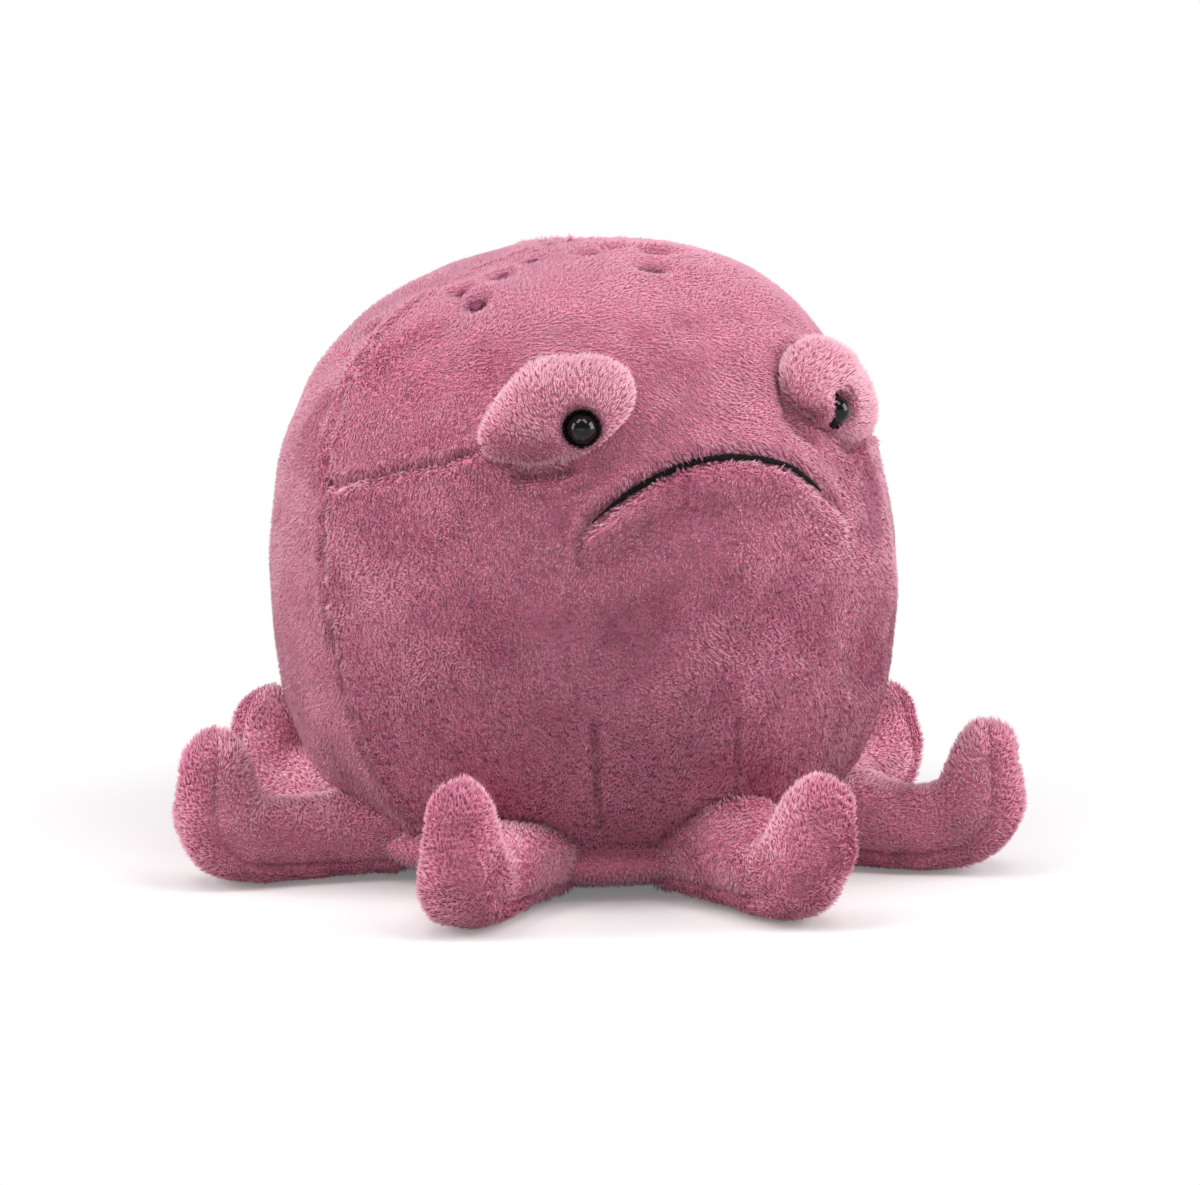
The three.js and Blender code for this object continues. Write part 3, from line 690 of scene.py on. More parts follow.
def instance_and_dress(tree, given, points, shape, way, width, length, mark=None):
    """Sets a shape on each point, pointing one way, and makes it real faces."""
    turned = tree.node("FunctionNodeAlignRotationToVector", {"axis": "Z"}, {"Vector": way})
    size = tree.node("ShaderNodeCombineXYZ", None, {0: width, 1: width, 2: length})
    made = tree.node(
        "GeometryNodeInstanceOnPoints", None,
        {"Points": points, "Instance": shape, "Rotation": turned, "Scale": size},
    )
    if mark:
        made = tree.stored(made, "tone_and_crease_shade", mark, "FLOAT", "INSTANCE")
    made = tree.node("GeometryNodeRealizeInstances", None, {"Geometry": made})
    finish = {"Geometry": made, "Material": given("Finish")}
    dressed = tree.node("GeometryNodeSetMaterial", None, finish)
    tree.node("NodeGroupOutput", None, {"Geometry": dressed})


def from_tree(name, carrier, growth, values, finish):
    """The plain mesh that a node tree makes of its carrier."""
    tree, inputs = growth
    modifier = carrier.modifiers.new(name, "NODES")
    modifier.node_group = tree.nodes
    for label, setting in values.items():
        modifier[inputs[label]] = setting
    depsgraph = bpy.context.evaluated_depsgraph_get()
    mesh = bpy.data.meshes.new_from_object(carrier.evaluated_get(depsgraph), depsgraph=depsgraph)
    carrier.modifiers.remove(modifier)
    mesh.name = name
    mesh.materials.clear()
    mesh.materials.append(finish)
    mesh.polygons.foreach_set("material_index", np.zeros(len(mesh.polygons), np.int32))
    mesh.polygons.foreach_set("use_smooth", [True] * len(mesh.polygons))
    return place_in_scene(name, mesh)


# Geometry Nodes: pile on a skin


FIBRES = 2.2e6
WIDTH = 0.00048

# What a pile is told, and each pile's own values in that order, lengths in metres
PILE_SIZES = [
    "Fibres per square metre", "Tufts per square metre", "Fibre length", "Fibre width",
    "Tuft pull", "Tuft tilt", "Fibre tilt",
]
CROWN_PILE = (FIBRES, 5.5e5, 0.0018, WIDTH, 0.5, 0.2, 0.14)
FACE_PILE = (FIBRES, 4.2e5, 0.0018, WIDTH, 0.5, 0.36, 0.14)
BASE_PILE = (FIBRES * 0.5, 5.5e5, 0.0018, WIDTH, 0.5, 0.2, 0.14)
MOUND_PILE = (FIBRES * 2.2, 4.0e5, 0.0025, WIDTH * 0.75, 0.4, 0.24, 0.16)
ARM_PILE = (FIBRES * 1.08, 3.6e5, 0.0023, WIDTH, 0.45, 0.2, 0.12)


def pile_tree():
    """Grows a pile on a skin: closed three-sided fibres that lean with the nap in tufts."""
    tree, inputs, given = begin_tree("Plush pile", PILE_SIZES, ["Panel", "Seed"])
    seed = given("Seed")
    chosen = tree.node(
        "FunctionNodeCompare", {"data_type": "INT", "operation": "EQUAL"},
        {2: tree.named("panel", "INT"), 3: given("Panel")},
    )

    def scattered(density, seed):
        skin = {"Mesh": given("Geometry"), "Density": density, "Seed": seed}
        return tree.node(
            "GeometryNodeDistributePointsOnFaces", None, {**skin, "Selection": chosen}
        )

    def leaning(points, tilt, seed):
        """The way a fibre points: out of the skin, over with the nap, and a little astray."""
        nap = tree.named("nap", "FLOAT_VECTOR")
        values = {"Min": (-1.0,) * 3, "Max": (1.0,) * 3, "Seed": seed}
        stray = tree.node("FunctionNodeRandomValue", {"data_type": "FLOAT_VECTOR"}, values)
        straight = tree.vector("ADD", points.other("Normal"), nap)
        way = tree.vector("ADD", straight, tree.scaled(stray, given(tilt)))
        return tree.vector("NORMALIZE", way)

    tufts = scattered(given("Tufts per square metre"), seed + 31)
    tuft_way = leaning(tufts, "Tuft tilt", seed + 7)
    tufts = tree.stored(tufts, "tuft_way", tuft_way, "FLOAT_VECTOR")
    fibres = scattered(given("Fibres per square metre") * tree.named("pile_density"), seed)
    position = tree.node("GeometryNodeInputPosition")
    nearest = tree.node("GeometryNodeSampleNearest", None, {"Geometry": tufts})

    def of_tuft(reading):
        values = {"Geometry": tufts, "Value": reading, "Index": nearest}
        return tree.node("GeometryNodeSampleIndex", {"data_type": "FLOAT_VECTOR"}, values)

    tuft_place = of_tuft(position)
    tuft_way = of_tuft(tree.named("tuft_way", "FLOAT_VECTOR"))
    length = given("Fibre length") * tree.named("pile_length")
    length = length * tree.between(0.6, 1.16, seed + 5)
    own_way = leaning(fibres, "Fibre tilt", seed + 3)
    own_tip = tree.vector("ADD", position, tree.scaled(own_way, length))
    tuft_tip = tree.vector("ADD", tuft_place, tree.scaled(tuft_way, length))
    gap = tree.vector("DISTANCE", position, tuft_place, output="Value")
    pull = given("Tuft pull") * (1 - gap.eased(0.0016, 0.004))
    away = tree.vector("SUBTRACT", tuft_tip, own_tip)
    tip = tree.vector("ADD", own_tip, tree.scaled(away, pull))
    reach = tree.vector("SUBTRACT", tip, position)
    cone = {"Vertices": 3, "Side Segments": 1, "Radius Top": 0.0, "Radius Bottom": 0.5}
    spike = tree.node("GeometryNodeMeshCone", {"fill_type": "NGON"}, {**cone, "Depth": 1.0})
    spike = tree.stored(spike, "tip", tree.upward(position))
    width = given("Fibre width") * tree.between(0.8, 1.25, seed + 11)
    long = tree.vector("LENGTH", reach, output="Value")
    # A random value for each fibre, less the painted shade of the creases
    tone_and_crease_shade = tree.between(0.0, 1.0, 19) - tree.named("crease") * 1.8
    instance_and_dress(tree, given, fibres, spike, reach, width, long, tone_and_crease_shade)
    return tree, inputs


def give_fibres_cells(mesh):
    """Lays each fibre in a cell of its own on the bake map, root below and tip above."""
    corners = np.zeros(len(mesh.loops), np.int32)
    mesh.loops.foreach_get("vertex_index", corners)
    tip = np.zeros(len(mesh.vertices), np.float32)
    mesh.attributes["tip"].data.foreach_get("value", tip)
    fibre, own = corners // 4, corners % 4
    side = math.ceil(math.sqrt(len(mesh.vertices) / 4))
    cell = np.stack([fibre % side, fibre // side], 1)
    high = tip[corners] > 0.5
    rank = np.where(high, 1.0, np.minimum(own, 2))
    inside = np.stack([0.15 + 0.35 * rank, np.where(high, 0.85, 0.15)], 1)
    layer = mesh.uv_layers.new(name="OFBake")
    layer.data.foreach_set("uv", ((cell + inside) / side).astype(np.float32).ravel())
    kept = ("tip", "tone_and_crease_shade", "position", "OFBake")
    for name in [a.name for a in mesh.attributes]:
        attribute = mesh.attributes[name]
        if name not in kept and not name.startswith(".") and not attribute.is_required:
            mesh.attributes.remove(attribute)


pile_growth = pile_tree()


def grow_pile(name, carrier, finish, sizes, panel, seed):
    """The pile on one panel of a skin, with its sizes in the order of PILE_SIZES."""
    settings = dict(zip(PILE_SIZES, sizes)) | {"Panel": panel, "Seed": seed}
    piece = from_tree(name, carrier, pile_growth, settings, finish)
    give_fibres_cells(piece.data)
    return piece


# Geometry Nodes: stitches


def stitch_tree():
    """Lays one stitch on each point of its carrier, along that point's own lay."""
    tree, inputs, given = begin_tree("Laid stitches", ["Thread width", "Length spread"], ["Seed"])
    lay = tree.named("lay", "FLOAT_VECTOR")
    uneven = tree.between(-1.0, 1.0, given("Seed"))
    long = tree.vector("LENGTH", lay, output="Value") * (1 + uneven * given("Length spread"))
    width = given("Thread width") * (1 + uneven * 0.1)
    strand = {"Segments": 7, "Rings": 6, "Radius": 0.5}
    strand = tree.node("GeometryNodeMeshUVSphere", None, strand)
    instance_and_dress(tree, given, given("Geometry"), strand, lay, width, long)
    return tree, inputs


sewing = stitch_tree()


def lay_stitches(name, places, lays, finish, width, spread, seed):
    """One piece of stitches at these places, each as long as its lay, in millimetres."""
    carrier = make_object(name + "_places", places, [])
    set_attribute(carrier, "lay", np.asarray(lays, float) * MM)
    settings = {"Thread width": width * MM, "Length spread": spread, "Seed": seed}
    piece = from_tree(name, carrier, sewing, settings, finish)
    bpy.data.objects.remove(carrier)
    lay = piece.data.attributes.get("lay")
    if lay:
        piece.data.attributes.remove(lay)
    return piece


# The stuffed body


def seam_line(turns, heights, step=2.0):
    """A seam on the body through turns and heights."""
    drawn = np.stack([turns, heights], 1)
    places = spline(drawn, np.linspace(0, 1, 12 * len(drawn)))
    return evenly(on_body(places[:, 0], places[:, 1]), step)


def sewn(line, sway=0.8):
    """A seam that wanders a little, as a sewn one does."""
    return line + sway * scatter_waves(line, 4.5, 501)


def side_seam_line(side):
    heights = np.linspace(BASE_SEAM_HEIGHT, 194.0, 60)
    back = side_seam_back(heights)
    across = np.sqrt(np.maximum(wall(heights) ** 2 - back**2, 0))
    climb = np.stack([side * across, back, heights], 1)
    over = [[0, back[-1], BODY_HEIGHT - 0.5]]
    return sewn(evenly(np.concatenate([climb, over]), 2.0))


def mirrored(line):
    return line * (-1, 1, 1)


left_brow = sewn(seam_line(
    [-84, -70, -60.5, -52, -47, -42.5], [126.4, 132.8, 136.6, 140.5, 143, 140]
))
under_mound = seam_line([-42, -40, -36.3, -32.6, -29], [138.5, 136, 135.6, 136.6, 138])
mouth_line = seam_line(MOUTH_TURNS, MOUTH_HEIGHTS, 1.0)
corner_dart = seam_line([-26.9, -27.9, -29.1, -27.4], [121, 118.5, 113.5, 106])
right_corner_dart = seam_line([26.9, 27.4, 28], [117.4, 112, 104])
left_dart = sewn(seam_line([-25.7, -25.8, -25.4, -25.1], [64, 52, 36, 20]))
right_dart = sewn(seam_line([26.8, 27.2, 29.4, 33], [86, 74, 58, 40]))
middle_dart = sewn(seam_line([-0.7, -0.6, 0.2, 1.8, 2.6], [72, 62, 50, 36, 20]))
back_seam = on_body(np.full(60, 180.0), np.linspace(BASE_SEAM_HEIGHT, 196, 60))
right_mound_crease = seam_line([24, 18.1, 17.3, 20.2, 24.2], [164, 157.5, 148.7, 143.3, 140.6])
crown_crease = seam_line([-30, -25.6, -22], [190, 182, 172])
faint_crease = seam_line([-32.5, -27.9, -25.1], [130.6, 132.1, 134.8])

# Line, depth, half width, and how much of its two ends fades
BODY_GROOVES = [
    (side_seam_line(-1), 2.6, 1.5, 0), (side_seam_line(1), 2.6, 1.5, 0),
    (left_brow, 2.8, 1.6, 0), (mirrored(left_brow), 2.6, 1.6, 0),
    (under_mound, 2.8, 2.0, 0.3), (mirrored(under_mound), 2.4, 2.0, 0.3),
    (mouth_line, 2.6, 2.1, 0), (corner_dart, 1.5, 1.5, 0.6),
    (right_corner_dart, 1.3, 1.5, 0.6), (left_dart, 2.6, 1.4, 0.3),
    (right_dart, 1.2, 1.2, 0.5), (middle_dart, 1.3, 1.15, 0.4), (back_seam, 2.5, 1.5, 0),
    (right_mound_crease, 2.6, 2.4, 0.2), (faint_crease, 0.8, 1.8, 0.6),
]


def pucker(points):
    """An unevenness from 0 to 1 of the gathers and clumps along a seam."""
    return np.clip(0.5 + 0.6 * waves(points, 2.8, 541), 0, 1)


def end_fade(share, fade):
    return fading(np.minimum(share, 1 - share), 0, fade / 2) if fade else 1.0


def upright(out, top=(0, 0, 1)):
    """The level way and the upward way on a surface that faces out."""
    across = unit(np.cross(top, out))
    return across, np.cross(out, across)


def spot_place(spot):
    """The middle of a crown spot, and its long, short and outward ways."""
    x, y, _, _, turn = spot
    radius = math.hypot(x, y)
    top = body_profile[body_profile[:, 1] > 100]
    height = float(np.interp(-radius, -top[:, 0], top[:, 1]))
    heading = math.degrees(math.atan2(x, -y))
    middle = direction(heading) * radius
    middle[2] = height
    out = body_normal(heading, min(height, BODY_HEIGHT - 5))
    across, up = upright(out, (0, 1, 0))
    swing = math.radians(turn)
    long = across * math.cos(swing) + up * math.sin(swing)
    return middle, long, np.cross(out, long), out


spot_places = [spot_place(spot) for spot in SPOTS]


def spot_distances(points, widening):
    """The distance from each crown spot in turn, in shares of its size that way."""
    for (middle, long, short, _), (_, _, half_long, half_short, _) in zip(spot_places, SPOTS):
        offset = points - middle
        yield np.hypot(
            offset @ long / (half_long + widening), offset @ short / (half_short + widening)
        )


def nap_field(points, normals, way, lean, seed):
    """The nap on a skin: a tangent leaning one way, turned a little from place to place."""
    way = np.broadcast_to(np.asarray(way, float), points.shape)
    degrees = 36 * waves(points, 30, seed) + 24 * waves(points, 9, seed + 1)
    uneven = lean * (1 + 0.35 * waves(points, 14, seed + 2))
    return swung_about(unit(tangent_part(way, normals)), normals, degrees) * uneven[:, None]


def part_from_lines(points, normals, nap):
    """Combs the nap away from the seams, so that each shows between its two sides."""
    for line, _, _, _ in BODY_GROOVES:
        away, far, _ = nearest_on_line(points, line)
        share = bell(far, PARTING_WIDTH)[:, None]
        nap = nap * (1 - share) + unit(tangent_part(away, normals)) * PARTING_LEAN * share
    return nap


def body_relief(points, turn, height):
    """How far the seams, the lips, the wrinkles, the pits and the stuffing move the skin."""
    gathers = pucker(points)
    relief = np.zeros(len(points))
    for line, depth, width, fade in BODY_GROOVES:
        _, far, share = nearest_on_line(points, line)
        lips = bell(far - 2.1 * width, 0.9 * width) * (0.06 + 0.3 * gathers)
        groove = bell(far, width) * (1.1 - 0.35 * gathers)
        relief += depth * (lips - groove) * end_fade(share, fade)
    relief -= BASE_SEAM_DEPTH * bell(height - BASE_SEAM_HEIGHT, 1.6)
    below = mouth_height(turn) - height
    lips = LOWER_LIP * bell(below - 7.5, 5) + UPPER_LIP * bell(below + 6, 4)
    relief += fading(np.abs(turn), 28.5, 23.5) * lips
    relief += fading(height, 22, 42) * (0.7 * waves(points, 42, 5) + 0.3 * waves(points, 13, 6))
    for place, out_by, reach in BODY_SWELLS:
        relief += out_by * bell(np.linalg.norm(points - place, axis=1), reach)
    _, far, share = nearest_on_line(points, crown_crease)
    relief -= CROWN_CREASE_DEPTH * bell(far, 3.4) * end_fade(share, 0.8)
    wrinkles = np.sin(height * 2 * np.pi / WRINKLE_STEP + 0.8 * np.sin(turn / 3))
    for _, heading, *_ in ARMS:
        beside = (turn - heading + 180) % 360 - 180
        relief += WRINKLE_DEPTH * bell(beside, 13) * bell(height - 31, 7) * wrinkles
    for distance in spot_distances(points, 1.0):
        relief -= PIT_DEPTH * np.exp(-(distance**2.6))
    return relief


def make_body():
    """The body's skin, with its panels marked and its nap combed."""
    rows, along = body_profile[1:-1], profile_along[1:-1]
    turns = np.degrees(around(COLUMNS)) - 180
    turn, height = np.meshgrid(turns, rows[:, 1])
    outward = direction(turn) * along[:, 1][:, None, None]
    outward[..., 2] -= along[:, 0][:, None]
    surface = direction(turn) * rows[:, 0][:, None, None]
    surface[..., 2] = height
    shape = surface.shape
    surface, outward = surface.reshape(-1, 3), outward.reshape(-1, 3)
    turn, height = turn.ravel(), height.ravel()
    bulge = chin_bulge(turn, height)
    relief = body_relief(surface + outward * bulge[:, None], turn, height)
    out = bulge * (height > BASE_SEAM_HEIGHT) - PILE_STAND + relief
    points = surface + outward * out[:, None]
    points[:, 2] = np.maximum(points[:, 2], 0.7)
    first = (0, 0, points[:COLUMNS, 2].mean())
    last = (0, 0, BODY_HEIGHT - PILE_STAND)
    piece = closed_form("stuffed_body", points.reshape(shape), first, last)
    mark_panels(piece)
    comb_body(piece)
    return piece


def mark_panels(piece):
    """Which panel each face of the body belongs to."""
    middle = vectors_of(piece.data.polygons, "center") / MM
    turn, height, left = turn_of(middle), middle[:, 2], middle[:, 0] < 0
    at_mouth = np.abs(turn) < MOUTH_TURN
    front = middle[:, 1] < side_seam_back(height)
    lower = front & (height < np.where(at_mouth, mouth_height(turn), brow_height(turn)))
    panel = np.where(left, LEFT_BACK, RIGHT_BACK)
    panel[front] = FOREHEAD
    panel[lower] = np.where(left[lower], LEFT_CHEEK, RIGHT_CHEEK)
    panel[lower & at_mouth] = CHIN
    panel[height < BASE_SEAM_HEIGHT - 1] = BASE
    panel[(panel >= LEFT_BACK) & (height > BACK_SPLIT_HEIGHT)] += 2
    set_attribute(piece, "panel", panel.astype(np.int32), "FACE")


def comb_body(piece):
    """The nap of the body's pile, its length, how dense it stands and how much shade is painted into its
    seams and pits.
    """
    points, normals = points_of(piece), normals_of(piece)
    height, turn = points[:, 2], turn_of(points)
    near_top = fading(height, 128, 152)[:, None]
    sideways = nap_field(points, normals, (0.8, -0.15, -0.7), 1.3, 25)
    nap = nap_field(points, normals, (0, 0, -1), 1.0, 21) * (1 - near_top) + sideways * near_top
    nap *= np.where(height < BASE_SEAM_HEIGHT + 1, 0.3, 1.0)[:, None]
    nap = part_from_lines(points, normals, nap)
    length = 1 + 0.12 * waves(points, 11, 31)
    # How much painted shade the seams and crown pits put on the pile and the backing
    crease = np.zeros(len(points))
    gathers = pucker(points)
    tangle = scatter_waves(points, 2.2, 551)
    for line, depth, width, fade in BODY_GROOVES:
        _, far, share = nearest_on_line(points, line)
        held = end_fade(share, fade) * min(depth / 2.4, 1)
        length += (0.7 * bell(far - 2.4, 1.4) * gathers - 0.5 * bell(far, 1.2)) * held
        crease = np.maximum(crease, bell(far, 1.1) * held * (1 - 0.4 * gathers))
        nap = nap + tangle * (0.8 * bell(far - 1.6, 1.8) * held)[:, None]
    _, far, _ = nearest_on_line(points, mouth_line)
    density = fading(far, 1.2, 1.7)
    lip = bell(height - mouth_height(turn) - 3.2, 2.6) * fading(np.abs(turn), 27, 23)
    length += 0.2 * lip
    for distance in spot_distances(points, 0.2):
        pit = np.exp(-(distance**3))
        length -= 0.5 * pit
        # Painted shade inside each pit
        crease = np.maximum(crease, 0.8 * pit)
    for side in (-1, 1):
        x, y, z = to_frame(bead_frame(side), points).T
        density *= (np.hypot(x, y) > DIMPLE_RADIUS + 0.8) | (z < -40)
    under = np.where(height < 2.5, 0.35, 1.0)
    set_pile(piece, crease, nap, np.clip(length * under, 0.3, 1.6), density * under)


def set_pile(piece, crease, nap, length, density):
    """What the pile reads of the skin that it grows on."""
    set_attribute(piece, "crease", crease)
    set_attribute(piece, "nap", nap)
    set_attribute(piece, "pile_length", length)
    set_attribute(piece, "pile_density", density)


# Frames of the eyes: an origin, and the ways across, up and out


def to_frame(place, points):
    return (points - place[0]) @ place[1].T


def from_frame(place, points):
    return points @ place[1] + place[0]


def mound_frame(side):
    out = body_normal(side * EYE_TURN, EYE_HEIGHT)
    across, up = upright(out)
    slant = math.radians(side * MOUND_SLANT)
    long = across * math.cos(slant) - up * math.sin(slant)
    return on_body(side * EYE_TURN, EYE_HEIGHT), np.stack([long, np.cross(out, long), out])


def bead_frame(side):
    tilt = math.radians(BEAD_TILT)
    look = direction(side * BEAD_TURN) * math.cos(tilt)
    look[2] = math.sin(tilt)
    origin = on_body(side * BEAD_TURN, BEAD_HEIGHT) + look * BEAD_STANDOFF
    return origin, np.stack([*upright(look), look])


def make_mound(side, name):
    """A padded mound round an eye, drawn in to a dimple by the bead."""
    rows, columns = 34, 72
    place, look = mound_frame(side), bead_frame(side)
    tilt = np.pi * (np.arange(rows) + 0.5) / rows
    tilt, angle = np.meshgrid(tilt, around(columns), indexing="ij")
    half = np.array(MOUND_HALF) - MOUND_INSET
    flat = np.sin(tilt)
    ball = np.stack([flat * np.cos(angle), flat * np.sin(angle), -np.cos(tilt)], -1)
    local = ball * half
    outer = np.clip(side * ball[..., 0], 0, 1)
    local[..., 0] *= 1 + MOUND_TAIL[side] * outer
    local[..., 1] *= 1 - 0.3 * outer**2
    local[..., 1] -= MOUND_DROOP * outer**2
    ends = np.array([[0, 0, -half[2]], [0, 0, half[2]]])
    points = np.concatenate([local.reshape(-1, 3), ends])
    points[:, 2] += MOUND_RIDGE * bell(points[:, 1] - 7, 9) * (points[:, 2] > 0)
    world = from_frame(place, points)
    world += unit(world - place[0]) * (0.6 * waves(world, 12, 51 + side))[:, None]
    seen = draw_in_dimple(to_frame(look, world), side)
    world = from_frame(look, seen)
    rings = world[:-2].reshape(rows, columns, 3)
    piece = closed_form(f"stuffed_{name}_eye_mound", rings, world[-2], world[-1])
    points, normals = points_of(piece), normals_of(piece)
    outward = points - from_frame(look, np.array([[0, 0, 2.0]]))
    nap = nap_field(points, normals, (0.9, -0.5, 0.8), 0.7, 61 + side)
    nap += 0.6 * unit(tangent_part(outward, normals))
    x, y, z = to_frame(look, points).T
    far = np.hypot(x, y)
    bare = (far < DIMPLE_RADIUS + 0.2) & (z > -4)
    inside = np.hypot(points[:, 0], points[:, 1]) <= wall(points[:, 2]) - 4
    length = 1 + 0.15 * waves(points, 7, 71) - 0.35 * bell(far - DIMPLE_RADIUS, 2.2)
    density = np.where(bare | inside, 0.0, 1.0)
    # The first value paints shade into the dimple round the bead
    set_pile(piece, bell(far, DIMPLE_RADIUS), nap, np.clip(length, 0.4, 1.4), density)
    set_attribute(piece, "panel", np.zeros(len(piece.data.polygons), np.int32), "FACE")
    return piece


def draw_in_dimple(seen, side):
    """Points in the bead's frame, pressed down softly where they stand over its dimple."""
    x, y, z = seen.T
    nasal = side > 0
    z += INNER_FOLD * bell(np.hypot(x + 9.5, y), 5) * nasal
    roof = -1.6 + np.maximum(np.hypot(x, y) - DIMPLE_RADIUS, 0) * DIMPLE_FLARE
    roof += INNER_LIP * fading(-side * x, 1.6, 5.0) * nasal
    over = z - roof
    soft = 1.2
    sunk = np.maximum(over + soft, 0) ** 2 / (4 * soft)
    z -= np.where(over > soft, over, sunk)
    return seen


# Arms


def arm_rings(reach_share, rise_share, lean):
    """Rings of an arm that lies along +X from its hinge line, its rounded ends included."""
    full_height, full_width = ARM_HALF_HEIGHT - PILE_STAND, ARM_HALF_WIDTH - PILE_STAND
    stations = [(-1.0, 0, 0, full_height, full_width)]
    for reach, rise, turn, height, width in ARM_STATIONS:
        stations.append((
            reach * ARM_REACH * reach_share, rise * ARM_TIP_RISE * rise_share, turn,
            height * ARM_HALF_HEIGHT - PILE_STAND, width * ARM_HALF_WIDTH - PILE_STAND,
        ))
    shares = np.linspace(0, 1, ARM_STEPS)
    middle = spline(stations, shares)
    middle[:, 3:] -= shares[:, None] ** 2 * TIP_SLIMMING
    domes = np.radians([8, 20, 32, 44, 56, 67, 77])
    root = [
        (-1.0 - full_height * math.sin(d), 0, 0, full_height * math.cos(d),
         full_width * math.cos(d) ** 0.6)
        for d in domes[::-1]
    ]
    x, z, turn, height, width = middle[-1]
    onward = (ARM_TIP_RADIUS - PILE_STAND) * direction(turn + 90)
    tip = [
        (x + onward[0] * math.sin(d), z + onward[1] * math.sin(d), turn,
         height * math.cos(d), width * math.cos(d))
        for d in domes
    ]
    rings = np.concatenate([root, middle, tip])
    angle = around(ARM_COLUMNS, 0.5)
    cosine, sine = np.cos(angle), np.sin(angle)
    across = np.sign(cosine) * np.abs(cosine) ** (2 / SECTION_POWER)
    up = np.sign(sine) * np.abs(sine) ** (2 / SECTION_POWER)
    turn = np.radians(rings[:, 2])[:, None]
    high = rings[:, 3][:, None] * up
    points = np.stack([
        rings[:, 0][:, None] - high * np.sin(turn), rings[:, 4][:, None] * across,
        rings[:, 1][:, None] + high * np.cos(turn),
    ], -1)
    ends = [(-1.0 - full_height, 0, 0), (x + onward[0], 0, z + onward[1])]
    points = np.concatenate([points.reshape(-1, 3), ends])
    points[:, 1] += math.tan(math.radians(lean)) * np.maximum(points[:, 2], 0)
    points[:, 2] += HINGE_HEIGHT
    return points, rings, up


def puff(piece):
    """Blows up a copy of a closed skin a little, and keeps what stays within the limit."""
    scene = bpy.context.scene
    rest = points_of(piece)
    cloth = piece.modifiers.new("Stuffing", "CLOTH")
    for setting, value in PUFF_SETTINGS.items():
        setattr(cloth.settings, setting, value)
    cloth.settings.effector_weights.gravity = 0
    cloth.point_cache.frame_end = PUFF_FRAMES
    for step in range(1, PUFF_FRAMES + 1):
        scene.frame_set(step)
    depsgraph = bpy.context.evaluated_depsgraph_get()
    moved = points_of(piece.evaluated_get(depsgraph)) - rest
    piece.modifiers.remove(cloth)
    scene.frame_set(1)
    far = np.linalg.norm(moved, axis=1, keepdims=True)
    move_points(piece, rest + moved * np.minimum(1, PUFF_LIMIT / np.maximum(far, 1e-9)))


def soften(points, rows, columns, share, passes):
    """Evens out the rings of a form where a share is above 0, as stuffing fills a bend."""
    grid = points[:-2].reshape(rows, columns, 3).copy()
    share = share[:-2].reshape(rows, columns, 1)[1:-1] * 0.5
    for _ in range(passes):
        beside = np.roll(grid, 1, 1) + np.roll(grid, -1, 1)
        middle = (grid[:-2] + grid[2:] + beside[1:-1]) / 4
        grid[1:-1] += (middle - grid[1:-1]) * share
    return np.concatenate([grid.reshape(-1, 3), points[-2:]])


def make_arm(name, heading, rise_share, reach_share, lean, hump, seed):
    """An arm's skin: puffed up, drawn in at the sole's seam, turned to its heading."""
    points, rings, up = arm_rings(reach_share, rise_share, lean)
    rows = len(rings)
    shape = points[:-2].reshape(rows, ARM_COLUMNS, 3)
    piece = closed_form(f"stuffed_{name}", shape, points[-2], points[-1])
    puff(piece)
    points, normals = points_of(piece), normals_of(piece)
    turn = np.radians(np.append(np.repeat(rings[:, 2], ARM_COLUMNS), rings[[0, -1], 2]))
    height = np.append(np.tile(up, rows), [0, 0])
    seam = np.abs(height + SOLE_SEAM) * ARM_HALF_HEIGHT
    relief = -SOLE_SEAM_DEPTH * bell(seam, 1.5) * (points[:, 0] > 0)
    relief += 0.7 * waves(points + seed * 50, 16, seed) + 0.3 * waves(points, 6, seed + 1)
    reach = points[:, 0] / (ARM_REACH * reach_share)
    relief += hump * bell(reach - 0.26, 0.24) * np.clip(height, 0, 1) ** 2
    points = points + normals * relief[:, None]
    inner_bend = np.clip(height * 2, 0, 1) * fading(reach, 0.35, 0.55)
    points = soften(points, rows, ARM_COLUMNS, inner_bend, BEND_PASSES)
    points[:, 2] = np.maximum(points[:, 2], 0.9)
    move_points(piece, points)
    points, normals = points_of(piece), normals_of(piece)
    forward = np.stack([np.cos(turn), np.zeros_like(turn), np.sin(turn)], 1)
    degrees = 40 * waves(points, 18, seed + 3) + 38 * waves(points, 7, seed + 4)
    nap = swung_about(unit(tangent_part(forward, normals)), normals, degrees)
    nap *= 0.9 * (1 + 0.3 * waves(points, 10, seed + 5))[:, None]
    length = 1 + 0.16 * waves(points, 9, seed + 6) - 0.3 * bell(seam, 1.5)
    length += 0.4 * fading(points[:, 2], 34, 48)
    under = points[:, 2] < 2.6
    length = np.where(under, 0.3, np.clip(length, 0.4, 1.6))
    in_root = points[:, 0] < -3
    density = np.where(in_root, 0.0, np.where(under, 0.4, 1.0))
    # Painted shade along the sole's seam
    crease = 0.5 * bell(seam, 1.0) * fading(reach, 1.05, 0.75)
    to_heading = np.array(Matrix.Rotation(math.radians(heading - 90), 3, "Z")).T
    move_points(piece, (points + (ARM_ROOT_RADIUS, 0, 0)) @ to_heading)
    set_pile(piece, crease, nap @ to_heading, length, density)
    middles = [np.mean(height[list(face.vertices)]) for face in piece.data.polygons]
    on_sole = np.array(middles) < -SOLE_SEAM
    set_attribute(piece, "panel", on_sole.astype(np.int32), "FACE")
    return piece


# Stitching


